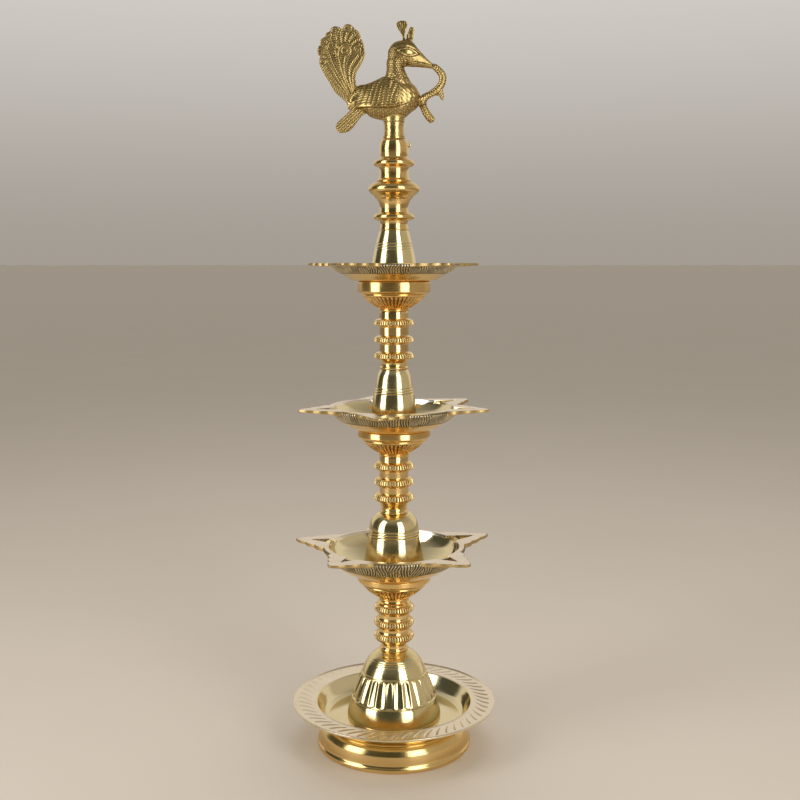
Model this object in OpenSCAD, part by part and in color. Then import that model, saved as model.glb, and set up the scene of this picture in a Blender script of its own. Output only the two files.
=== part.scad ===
// Standing oil lamp of turned and cast brass: a spool foot with a drip dish,
// three five-beaked oil dishes on screwed stem sections, and a peacock finial.
// Millimetres, +Z up, origin at the centre of the foot on the surface it stands on.

/* [Base] */
// Radius of the foot where it rests
foot_r = 96; // [92:0.5:98]
// Radius of the drip dish over its flange
flange_r = 127; // [122:0.5:132]
// Number of flutes round the lowest bell
bell_flutes = 28; // [20:1:30]

/* [Oil dishes] */
// Reach of the lower dish's longest beak from the axis
lower_reach = 136; // [126:1:140]
// Reach of the middle dish's longest beak from the axis
middle_reach = 124; // [116:1:128]
// Reach of the upper dish's longest beak from the axis
upper_reach = 116; // [112:1:122]
// Half of the angle that a beak spans where it leaves the rim
beak_half = 23; // [18:0.5:26]
// Thickness of a beak at its tip
beak_tip_t = 3; // [2.5:0.1:4]
// How far the wick channel's end lies inside the beak's tip
channel_back = 22; // [19:1:27]

/* [Stems] */
// Radius of the plain shaft between the rings
shaft_r = 18.5; // [18:0.25:19.5]
// Radius of the milled rings
ring_r = 25.5; // [24:0.25:27]
// Number of milled teeth round a ring
ring_teeth = 44; // [24:2:48]
// Number of flutes round a cup
cup_flutes = 36; // [20:1:36]

/* [Screwed joints] */
// Radius of the threaded studs
stud_r = 8; // [7:0.25:8.5]
// Radial running clearance between a stud and what turns on it
thread_gap = 0.05; // [0.02:0.01:0.1]
// Radius of the peacock's peg
peg_r = 6; // [5:0.25:6.5]

/* [Finial] */
// Thickness of the tail fan
fan_t = 7; // [5:0.5:9]
// Radius of the bird's body at its widest
bird_r = 25.5; // [23:0.5:26]

/* [Hidden] */
$fn = 96;
bore_r = stud_r + thread_gap;

// heights of the faces where the pieces meet
z_floor = 34;      // drip dish floor, the lowest bell stands on it
z_bell0 = 116;     // top of the lowest bell
z_cup1 = 180;      // bottom and top of the lower cup
z_dish1 = 212;
z_rim1 = 248;
z_bell1 = 289;     // top of the bell in the lower dish
z_cup2 = 362;
z_dish2 = 395;
z_rim2 = 424.5;
z_bell2 = 471;
z_cup3 = 545;
z_dish3 = 583;
z_rim3 = 606;
z_bell3 = 647;
z_column = 763;    // top of the finial column
z_pin = 753;

// a smooth curve through hand-chosen points, n steps for each span
function cr(a, b, c, d, t) = 0.5 * (2 * b + (c - a) * t + (2 * a - 5 * b + 4 * c - d) * t * t + (3 * b - a - 3 * c + d) * t * t * t);
function smooth(p, n = 4) = [
    for (i = [0 : len(p) - 2], k = [0 : n - 1])
        cr(p[max(i - 1, 0)], p[i], p[i + 1], p[min(i + 2, len(p) - 1)], k / n),
    p[len(p) - 1]];
function up(p, dz) = [for (q = p) [q[0], q[1] + dz]];

module turned(p) { rotate_extrude() polygon(p); }
module bore(z0, z1, r) { translate([0, 0, z0]) cylinder(r = r, h = z1 - z0); }

// ---- base ------------------------------------------------------------
foot_out = smooth([[foot_r - 1, 0], [foot_r + 0.4, 2], [foot_r + 0.4, 5], [foot_r - 0.9, 7.2], [foot_r - 1.5, 9.6], [foot_r - 1.7, 14],
                   [foot_r - 2.3, 19], [foot_r - 3.5, 22.5], [foot_r - 5.4, 26], [foot_r - 8.2, 29], [foot_r - 11.5, 31]], 3);

module foot_ring() {
    color("goldenrod")
    rotate_extrude() polygon(concat(foot_out, [[foot_r - 17, 31], [foot_r - 17, 28.4], [foot_r - 13.4, 26.8],
                                               [foot_r - 10, 23.6], [foot_r - 7.8, 19], [foot_r - 6.6, 13], [foot_r - 5.4, 7], [foot_r - 4.5, 0]]));
}

dish0_under = smooth([[86, 31], [90.5, 35], [95, 41.5], [99, 46.5], [104.5, 50]], 4);
dish0_in = smooth([[97, 52.4], [94.5, 47.5], [91, 41], [87.5, 36.5], [82, z_floor]], 4);

module base_dish() {
    color("gold")
    rotate_extrude() polygon(concat(
        [[bore_r + 0.3, 31]], dish0_under,
        [[flange_r - 2, 50.8], [flange_r, 52], [flange_r + 0.3, 54], [flange_r - 1.2, 54.6], [flange_r - 2.6, 53.2],
         [99.5, 52.6], [98.6, 53.2]],
        dish0_in, [[bore_r + 0.3, z_floor]]));
}

module base_washer() {
    color("darkgoldenrod") difference() {
        translate([0, 0, 28.5]) cylinder(r = 21, h = 2.5);
        bore(27, 32, bore_r + 0.3);
    }
}

module base_nut() {
    color("peru") difference() {
        translate([0, 0, 16.5]) cylinder(r = 15.5, h = 12, $fn = 6);
        bore(15, 30, bore_r);
    }
}

// ---- studs: long double-ended screws inside the bells ----------------
module stud(z0, z1) {
    turned([[0, z0], [stud_r - 1.2, z0], [stud_r, z0 + 1.2], [stud_r, z1 - 1.2], [stud_r - 1.2, z1], [0, z1]]);
}
module lower_stud() { color("peru") stud(5, z_bell0 + 20); }
module middle_stud() { color("peru") stud(z_dish1 - 19, z_bell1 + 20); }
module upper_stud() { color("peru") stud(z_dish2 - 19, z_bell2 + 20); }
module top_stud() { color("peru") stud(z_dish3 - 19, z_bell3 + 20); }

// ---- bells: hollow castings that stand in the dishes ------------------
// out and in run from the bottom edge up to the top face
module bell(out, in) {
    n = len(in);
    rotate_extrude() polygon(concat(out, [for (i = [n - 1 : -1 : 0]) in[i]]));
}

bell0_out = smooth([[57.2, 34], [58.4, 36.5], [58.2, 40], [56.9, 45], [55.1, 51], [53.3, 57.4], [50.5, 67], [46, 78], [41.6, 88],
                    [37.5, 97], [32.5, 105.5], [26.5, 111.5], [19, z_bell0]], 4);
module lower_bell() {
    color("khaki") difference() {
        bell(bell0_out, [[45, 34], [49, 44], [49, 52], [45, 67], [37, 85], [29, 100], [20, 108], [bore_r + 0.3, 109], [bore_r + 0.3, z_bell0]]);
        // rounded flutes down the side
        for (i = [0 : bell_flutes - 1]) rotate([0, 0, i * 360 / bell_flutes])
            translate([54.9, 0, 58]) rotate([0, -22, 0]) translate([1.8, 0, 2]) cylinder(r = 3.6, h = 30, $fn = 24);
    }
}

bell1_out = smooth([[42, 214.5], [41.4, 217], [39.8, 222], [37.3, 232], [35.2, 243], [33.2, 255], [32, 265], [30.8, 274],
                    [28.4, 281], [23.8, 287], [19, z_bell1]], 4);
module middle_bell() {
    color("khaki") bell(bell1_out, [[36.5, 214.5], [33, 232], [29.5, 255], [28, 268], [24, 279], [bore_r + 0.3, 282], [bore_r + 0.3, z_bell1]]);
}

bell2_out = smooth([[30.4, 397.5], [29.4, 404], [28.6, 413], [28.1, 421], [27.2, 430], [25.8, 439], [24, 448],
                    [22.4, 457], [20.4, 465], [17.5, z_bell2]], 4);
module upper_bell() {
    color("khaki") bell(bell2_out, [[26.5, 397.5], [24.5, 421], [21, 446], [17, 462], [bore_r + 0.3, 465], [bore_r + 0.3, z_bell2]]);
}

bell3_out = smooth([[32.4, 585.5], [30.6, 592], [28.6, 602], [26.4, 614], [24.2, 625], [21.6, 636], [18.4, z_bell3]], 4);
module top_bell() {
    color("khaki") bell(bell3_out, [[28.5, 585.5], [24.5, 604], [20, 625], [16, 638], [bore_r + 0.3, 641], [bore_r + 0.3, z_bell3]]);
}

// ---- stems ------------------------------------------------------------
// outline of a milled ring with its crest at z, from its lower root to its upper root
// r0 root radius, hd and hu depth of the ring below and above the crest
function ring_at(z, r0, hd, hu) = [[r0, z - hd], [r0 + 1, z - hd + 0.8], [ring_r - 3, z - 0.62 * hd], [ring_r - 1, z - 0.36 * hd],
                           [ring_r, z - 0.9], [ring_r, z + 0.5], [ring_r - 0.9, z + 2.1], [ring_r - 2.6, z + 3.4],
                           [r0 + 0.8, z + hu - 0.9], [r0, z + hu]];

// milling: a tooth form that trims the ring's outer third
module milled(z) {
    difference() {
        translate([0, 0, z - 4.6]) difference() { cylinder(r = ring_r + 2, h = 9.2); translate([0, 0, -1]) cylinder(r = shaft_r + 2.6, h = 12); }
        translate([0, 0, z - 6]) linear_extrude(height = 12) polygon([
            for (i = [0 : 2 * ring_teeth - 1]) let (a = i * 180 / ring_teeth, r = i % 2 == 0 ? ring_r + 0.3 : ring_r - 1.5) [r * cos(a), r * sin(a)]]);
    }
}

module stem(z0, z1, rings, r0, hd, hu) {
    difference() {
        turned(concat([[0, z0]], up(stem_foot, z0),
            ring_at(rings[0], r0, hd, hu), ring_at(rings[1], r0, hd, hu), ring_at(rings[2], r0, hd, hu),
            [[shaft_r - 0.3, z1 - 1.6], [shaft_r - 0.5, z1], [0, z1]]));
        bore(z0 - 1, z0 + 22, bore_r);        // lower socket for the stud
        bore(z1 - 14, z1 + 1, 10.1);          // socket for the cup's spigot
        bore(z0 + 26, z1 - 18, 11);           // cored hollow
        for (z = rings) milled(z);
    }
}
stem_foot = [[16.4, 0], [17.8, 1], [18, 2.4], [17.4, 3.6], [16.3, 4.6], [16.1, 7], [16.7, 9.2]];
module lower_stem() { color("orange") stem(z_bell0, z_cup1, [134.5, 151.6, 170], shaft_r + 1.7, 8.4, 7.6); }
module middle_stem() { color("orange") stem(z_bell1, z_cup2, [309.8, 329.4, 349.3], shaft_r, 7.4, 5); }
module upper_stem() { color("orange") stem(z_bell2, z_cup3, [488.6, 509, 530.5], shaft_r, 5.8, 5); }

// ---- cups: fluted collars that carry the dishes ------------------------
module cup(z0, z1) {
    h = z1 - z0;
    difference() {
        turned(concat([[0, z0 - 12], [10, z0 - 12], [10, z0]],
            [[18.6, z0], [19.6, z0 + 1], [19.6, z0 + 2.2], [18.6, z0 + 3]],
            smooth([[19.4, z0 + 3.4], [24, z0 + 6.2], [30, z0 + 10], [35.6, z0 + 14.6], [38.4, z0 + 18.4]], 3),
            [[40.6, z0 + 19], [41.4, z0 + 20.4], [40.8, z0 + 21.6], [43.6, z0 + 22.8], [45.6, z0 + 24.4]],
            [[46.2, z0 + 25.2], [46, z1 - 1.2], [45.2, z1 - 0.3], [44.2, z1], [0, z1]]));
        bore(z1 - 21, z1 + 1, bore_r);
        for (i = [0 : cup_flutes - 1]) rotate([0, 0, (i + 0.5) * 360 / cup_flutes])
            translate([20.2, 0, z0 + 2.4]) rotate([0, 51, 0]) translate([-0.6, 0, 0]) cylinder(r = 1.15, h = 22, $fn = 16);
    }
}
module lower_cup() { color("darkorange") cup(z_cup1, z_dish1); }
module middle_cup() { color("darkorange") cup(z_cup2, z_dish2); }
module upper_cup() { color("darkorange") cup(z_cup3, z_dish3); }

// ---- oil dishes --------------------------------------------------------
// outline of one beak pointing along +X: three small lobes down each edge
function edge_pt(t, R, rb) = let (b = (rb - 0.9) * [cos(beak_half), sin(beak_half)], e = [R, 1.2],
        d = e - b, n = [-d[1], d[0]] / norm(d)) b + d * t + n * 2.6 * abs(sin(540 * t)) * (1 - 0.35 * t);
function beak(R, rb) = concat(
    [[rb * 0.8, -rb * 0.3]],
    [for (i = [0 : 15]) let (q = edge_pt(i / 15, R, rb)) [q[0], -q[1]]],
    [for (i = [15 : -1 : 0]) edge_pt(i / 15, R, rb)],
    [[rb * 0.8, rb * 0.3]]);

// rb rim radius, ri bowl's mouth, out/in profiles as [radius, depth below the rim]
module oil_dish(z, rb, ri, out, in, beaks) {
    translate([0, 0, z]) difference() {
        union() {
            rotate_extrude() polygon(concat([[0, 0], [rb, 0], [rb, -3.4]],
                smooth([for (q = out) [q[0], -q[1]]], 3), [[0, -out[len(out) - 1][1]]]));
            for (b = beaks) rotate([0, 0, b[0]]) difference() {
                translate([0, 0, -6.4]) linear_extrude(height = 6.4) polygon(beak(b[1], rb));
                // the underside rises towards the tip
                translate([b[1], 0, -beak_tip_t]) rotate([0, -2.5, 0]) translate([-90, -60, -30]) cube([120, 120, 30]);
            }
        }
        rotate_extrude() polygon(concat([[0, 1], [ri + 0.4, 1]],
            smooth(concat([[ri, 0]], [for (q = in) [q[0], -q[1]]]), 3), [[0, -in[len(in) - 1][1]]]));
        bore(-60, 5, bore_r);
        for (b = beaks) rotate([0, 0, b[0]]) translate([b[1] - channel_back, 0, -2.1]) rotate([0, -2.5, 0]) {
            linear_extrude(height = 15) polygon([[0, -1.35], [0, 1.35], [-42, 18.3], [-42, -18.3]]);
            cylinder(r = 1.7, h = 15);
        }
    }
}

module lower_dish() {
    color("gold") oil_dish(z_rim1, 90, 83,
        [[84.5, 11], [79, 17.6], [71.5, 23.6], [64, 28.2], [57, 32], [50.5, 34.6], [45.5, 36]],
        [[81, 7.5], [76, 15.4], [69, 21], [61.5, 25.6], [54.5, 29.6], [48.5, 32.2], [43, 33.5]],
        [[165.5, lower_reach - 5], [-128, lower_reach - 13], [-46, lower_reach - 7], [25, lower_reach], [92, lower_reach - 10]]);
}
module middle_dish() {
    color("gold") oil_dish(z_rim2, 84, 76.5,
        [[77.5, 9.5], [71.2, 15.8], [64, 20.8], [57, 24.8], [50.5, 28], [45.5, 29.5]],
        [[74.5, 5.5], [68.8, 13.2], [61.8, 18.2], [54.8, 22.4], [48.5, 25.6], [43, 27]],
        [[-162, middle_reach], [-100, middle_reach - 6], [-16, middle_reach - 1], [37, middle_reach - 1], [101, middle_reach - 6]]);
}
module upper_dish() {
    color("gold") oil_dish(z_rim3, 84, 73,
        [[78, 6.4], [73.7, 9.6], [68.4, 12.8], [61, 16.8], [53.5, 21.4], [45.5, 23]],
        [[70.5, 5.4], [65.6, 9.6], [58.6, 13.8], [51, 18.6], [43, 20.5]],
        [[166, upper_reach - 2], [-123, upper_reach - 4], [-53, upper_reach - 4], [19, upper_reach], [92, upper_reach - 4]]);
}

// ---- finial column ------------------------------------------------------
column_out = concat([[17.4, 647], [18.2, 648.2]], smooth([[18, 650], [17.2, 655], [18.2, 659.6]], 3),
    [[20.4, 660]], smooth([[22.6, 660.4], [25, 661.8], [25.9, 664], [25.2, 666.6], [22.6, 668.6]], 3), [[20.4, 669]],
    smooth([[18.6, 669.8], [18, 675], [19, 681.4], [21.4, 686.6]], 3),
    [[23.4, 688.4], [24.4, 690]], smooth([[25.4, 691.4], [30.6, 695.4], [32.6, 699.6], [30.8, 704], [25.6, 707.8]], 3),
    [[22, 708.6], [22.6, 710.2], [20.8, 711.6]], smooth([[19.6, 713], [18.4, 718], [18.6, 724], [19.4, 727.4]], 3),
    [[20.6, 728]], smooth([[22.8, 728.4], [25.2, 729.9], [26, 732.2], [25.2, 734.8], [22.4, 736.8]], 3),
    [[20, 737.3], [18.4, 738.8]], smooth([[17.4, 740.4], [18.2, 746], [18.2, 753], [16.8, 760], [15.4, 762.4]], 3), [[14.6, z_column]]);
module finial_column() {
    color("orange") difference() {
        turned(concat([[0, z_bell3]], column_out, [[0, z_column]]));
        bore(z_bell3 - 1, z_bell3 + 22, bore_r);
        bore(z_bell3 + 27, 726, 11);
        bore(732, z_column + 1, peg_r + thread_gap);
        translate([0, 0, z_pin]) rotate([0, 90, 0]) cylinder(r = 1.55, h = 30, $fn = 32);
    }
}

// a bent wire whose straight end sits in the peg's groove
module retaining_pin() {
    color("yellow") {
        translate([4.3, 0, z_pin]) rotate([0, 90, 0]) cylinder(r = 1.5, h = 17.6, $fn = 32);
        translate([20.2, 0, z_pin]) cylinder(r = 1.3, h = 6, $fn = 32);
    }
}

// ---- peacock ------------------------------------------------------------
module peacock_peg() {
    color("peru") turned([[0, 736], [peg_r - 1, 736], [peg_r, 737], [peg_r, z_pin - 2], [3.8, z_pin - 2], [3.8, z_pin + 2],
                          [peg_r, z_pin + 2], [peg_r, 776], [0, 776]]);
}

// a chain of round limbs in the X-Z plane: each point is [x, z, radius]
module chain(p) {
    for (i = [0 : len(p) - 2]) let (d = p[i + 1] - p[i])
        translate([p[i][0], 0, p[i][1]]) rotate([0, atan2(d[0], d[1]), 0])
            cylinder(r1 = p[i][2], r2 = p[i + 1][2], h = norm([d[0], d[1]]), $fn = 32);
    for (q = p) translate([q[0], 0, q[1]]) sphere(r = q[2] + 0.2, $fn = 32);
}

// the open tail: a plate with round eye lobes along its rim, centre c, radius r
function fan_pt(a) = let (c = [-67, 866], n = 9) c + (26.8 + 3.4 * abs(sin(a * n / 2))) * [cos(a), 1.42 * sin(a)];
module fan() {
    rotate([90, 0, 0]) translate([0, 0, -fan_t / 2]) linear_extrude(height = fan_t)
        polygon(concat([for (i = [0 : 72]) fan_pt(-12 + i * 3)],
            smooth([[-88, 841], [-83, 832], [-78, 826.7], [-67.6, 816.3], [-56, 806], [-48, 800]], 3),
            smooth([[-34, 812], [-40, 826], [-46, 833], [-48.2, 838.4], [-47, 850], [-41.5, 857]], 3)));
}
module under_tail() {
    rotate([90, 0, 0]) translate([0, 0, -3]) linear_extrude(height = 6)
        polygon(smooth([[-32, 802], [-46, 797], [-60, 788], [-72, 778], [-74, 774], [-68, 772], [-54, 776], [-42, 786], [-34, 792]], 3));
}
// three feathers of the crest
module crest() {
    rotate([90, 0, 0]) translate([0, 0, -1.75]) linear_extrude(height = 3.5)
        polygon(smooth([[12, 886], [9, 896], [4.5, 905], [6, 912], [11, 914], [15, 910], [17, 904], [21, 906],
                        [25, 904], [24, 897], [22, 890], [22, 884]], 3));
}
module peacock() {
    color("olive") difference() {
        union() {
            // pedestal under the bird
            turned(concat([[0, z_column], [14.6, z_column]], smooth([[14, 766], [13, 771], [12.7, 777], [13.2, 783], [14, 789], [14.6, 793]], 3), [[0, 793]]));
            // body, with its long axis level
            translate([-8, 0, 815.5]) rotate([0, 90, 0]) rotate_extrude() polygon(smooth([[0, -46], [8, -43], [15, -33], [21, -20],
                [bird_r - 0.4, -8], [bird_r, 4], [bird_r - 0.8, 18], [18.6, 30], [11.6, 37.4], [5, 41], [0, 42.2]], 3));
            // back rising into the tail
            chain([[-24, 809, 17], [-46, 802, 9]]);
            chain([[-26, 815, 19], [-46, 820, 10]]);
            // neck, head and beak
            chain([[5, 818, 19], [1.8, 848, 11.6], [6, 868, 13.6], [20, 874, 12.6], [32, 866, 9], [44, 858.4, 4.4], [51, 855.4, 2.4]]);
            chain([[7, 866, 11], [24, 864, 9.4], [40, 859.6, 5]]);
            // snake held in the beak, its head and forked tail
            chain([[48, 856, 3.8], [57.4, 852, 4.6], [62.2, 843, 4.5], [61.2, 831, 4.4], [54, 821, 4.3], [38, 812, 5]]);
            chain([[54, 821, 3.6], [60.6, 808, 2.2]]);
            chain([[32, 813, 6.6], [41, 800, 5.2], [50, 787, 3.6]]);
            crest();
            fan();
            under_tail();
        }
        bore(z_column - 1, 776, peg_r);
    }
}

foot_ring();
base_dish();
base_washer();
base_nut();
lower_stud();
lower_bell();
lower_stem();
lower_cup();
lower_dish();
middle_stud();
middle_bell();
middle_stem();
middle_cup();
middle_dish();
upper_stud();
upper_bell();
upper_stem();
upper_cup();
upper_dish();
top_stud();
top_bell();
finial_column();
retaining_pin();
peacock_peg();
peacock();
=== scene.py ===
import math
import bpy
import bmesh
import numpy as np
from mathutils import Vector, Matrix


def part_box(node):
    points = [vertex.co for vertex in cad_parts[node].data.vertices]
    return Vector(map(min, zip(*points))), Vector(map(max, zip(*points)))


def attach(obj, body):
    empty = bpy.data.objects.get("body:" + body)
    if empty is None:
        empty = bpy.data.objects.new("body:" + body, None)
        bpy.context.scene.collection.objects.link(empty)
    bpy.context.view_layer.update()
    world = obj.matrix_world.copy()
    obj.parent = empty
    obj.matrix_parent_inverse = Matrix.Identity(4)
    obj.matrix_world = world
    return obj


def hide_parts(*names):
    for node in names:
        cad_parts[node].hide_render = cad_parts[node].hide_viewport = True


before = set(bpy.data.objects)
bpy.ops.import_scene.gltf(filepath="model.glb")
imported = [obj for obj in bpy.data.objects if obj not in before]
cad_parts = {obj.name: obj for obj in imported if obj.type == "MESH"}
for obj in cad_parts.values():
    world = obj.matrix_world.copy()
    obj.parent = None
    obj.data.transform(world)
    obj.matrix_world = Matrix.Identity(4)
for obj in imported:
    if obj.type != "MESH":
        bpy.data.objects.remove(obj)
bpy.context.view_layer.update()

scene = bpy.context.scene
PI = math.pi
TAU = 2 * math.pi

# ---------------------------------------------------------------- helpers


def cr(a, b, c, d, t):
    return 0.5 * (2 * b + (c - a) * t + (2 * a - 5 * b + 4 * c - d) * t * t + (3 * b - a - 3 * c + d) * t ** 3)


def smooth(p, n=10):
    """A smooth curve through points (lists of floats), n steps for each span."""
    p = [np.array(q, float) for q in p]
    out = []
    for i in range(len(p) - 1):
        a, b, c, d = p[max(i - 1, 0)], p[i], p[i + 1], p[min(i + 2, len(p) - 1)]
        for k in range(n):
            out.append(cr(a, b, c, d, k / n))
    out.append(p[-1])
    return [tuple(q) for q in out]


def rounded(p, r=0.35, n=4, turn=14, closed=True):
    """Rounds the corners of an outline that turn by more than so many degrees."""
    p = [np.array(q, float) for q in p]
    out = []
    m = len(p)
    for i in range(m):
        if not closed and i in (0, m - 1):
            out.append(p[i])
            continue
        a, b, c = p[i - 1], p[i], p[(i + 1) % m]
        u, v = a - b, c - b
        lu, lv = np.linalg.norm(u), np.linalg.norm(v)
        if lu < 1e-6 or lv < 1e-6:
            continue
        u, v = u / lu, v / lv
        ang = math.acos(max(-1, min(1, float(-u @ v))))
        if ang < math.radians(turn) or b[0] < 1e-6:
            out.append(b)
            continue
        k = min(r * math.tan(ang / 2), lu * 0.42, lv * 0.42)
        s, e = b + u * k, b + v * k
        for j in range(n + 1):
            t = j / n
            out.append((1 - t) ** 2 * s + 2 * t * (1 - t) * b + t * t * e)
    return [tuple(q) for q in out]


def refine(p, step):
    """Adds points so that no piece of an open outline is longer than step."""
    out = [p[0]]
    for a, b in zip(p, p[1:]):
        d = math.hypot(b[0] - a[0], b[1] - a[1])
        k = max(1, int(math.ceil(d / step)))
        for j in range(1, k + 1):
            out.append((a[0] + (b[0] - a[0]) * j / k, a[1] + (b[1] - a[1]) * j / k))
    return out


def make(name, verts, faces, mats, body, nodes=(), sharp=38, attrs=None, face_mats=None):
    """A mesh object from millimetre points. It rides on a body and may stand for CAD nodes."""
    me = bpy.data.meshes.new(name)
    me.from_pydata((np.asarray(verts, float) * 0.001).tolist(), [], faces)
    me.validate()
    for k, v in (attrs or {}).items():
        at = me.attributes.new(k, "FLOAT", "POINT")
        at.data.foreach_set("value", np.asarray(v, np.float32))
    me.polygons.foreach_set("use_smooth", [True] * len(me.polygons))
    for m in mats:
        me.materials.append(m)
    if face_mats is not None:
        me.polygons.foreach_set("material_index", face_mats)
    me.update()
    if sharp:
        me.set_sharp_from_angle(angle=math.radians(sharp))
    ob = bpy.data.objects.new(name, me)
    scene.collection.objects.link(ob)
    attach(ob, body)
    if nodes:
        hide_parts(*nodes)
    return ob


def area2(p):
    s = 0
    for i in range(len(p)):
        a, b = p[i - 1], p[i]
        s += a[0] * b[1] - b[0] * a[1]
    return s


def lathe(profile, seg=160, shape=None, attr=None):
    """Turns an outline (r, z) that starts and ends on the axis, or a closed loop, round the axis.
    shape(R, Z, TH) may return moved R, Z arrays. Returns points, faces and the attribute."""
    P = np.array(profile, float)
    if area2(profile) < 0:
        P = P[::-1]
    on_axis = P[0, 0] < 1e-6 and P[-1, 0] < 1e-6
    th = np.arange(seg) * TAU / seg
    R = np.repeat(P[:, :1], seg, 1)
    Z = np.repeat(P[:, 1:2], seg, 1)
    T = np.repeat(th[None, :], len(P), 0)
    A = np.zeros_like(R)
    if shape:
        res = shape(R.copy(), Z.copy(), T)
        R, Z = res[0], res[1]
        if len(res) > 2:
            A = res[2]
    n = len(P)
    V = np.stack([R * np.cos(T), R * np.sin(T), Z], -1)
    faces = []
    idx = np.arange(n * seg).reshape(n, seg)
    nxt = np.roll(idx, -1, 1)
    if on_axis:
        verts = V[1:-1].reshape(-1, 3)
        idx = idx[:-2]
        nxt = nxt[:-2]
        m = n - 2
        for i in range(m - 1):
            faces += np.stack([idx[i], nxt[i], nxt[i + 1], idx[i + 1]], -1).tolist()
        base = len(verts)
        verts = np.vstack([verts, [[0, 0, P[0, 1]], [0, 0, P[-1, 1]]]])
        faces += [[base, int(nxt[0, j]), int(idx[0, j])] for j in range(seg)]
        faces += [[base + 1, int(idx[m - 1, j]), int(nxt[m - 1, j])] for j in range(seg)]
        A = np.concatenate([A[1:-1].reshape(-1), [0, 0]])
    else:
        verts = V.reshape(-1, 3)
        for i in range(n):
            k = (i + 1) % n
            faces += np.stack([idx[i], nxt[i], nxt[k], idx[k]], -1).tolist()
        A = A.reshape(-1)
    return verts, faces, A


# ---------------------------------------------------------------- materials


def node(nt, kind, **kw):
    n = nt.nodes.new(kind)
    for k, v in kw.items():
        setattr(n, k, v)
    return n


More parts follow.
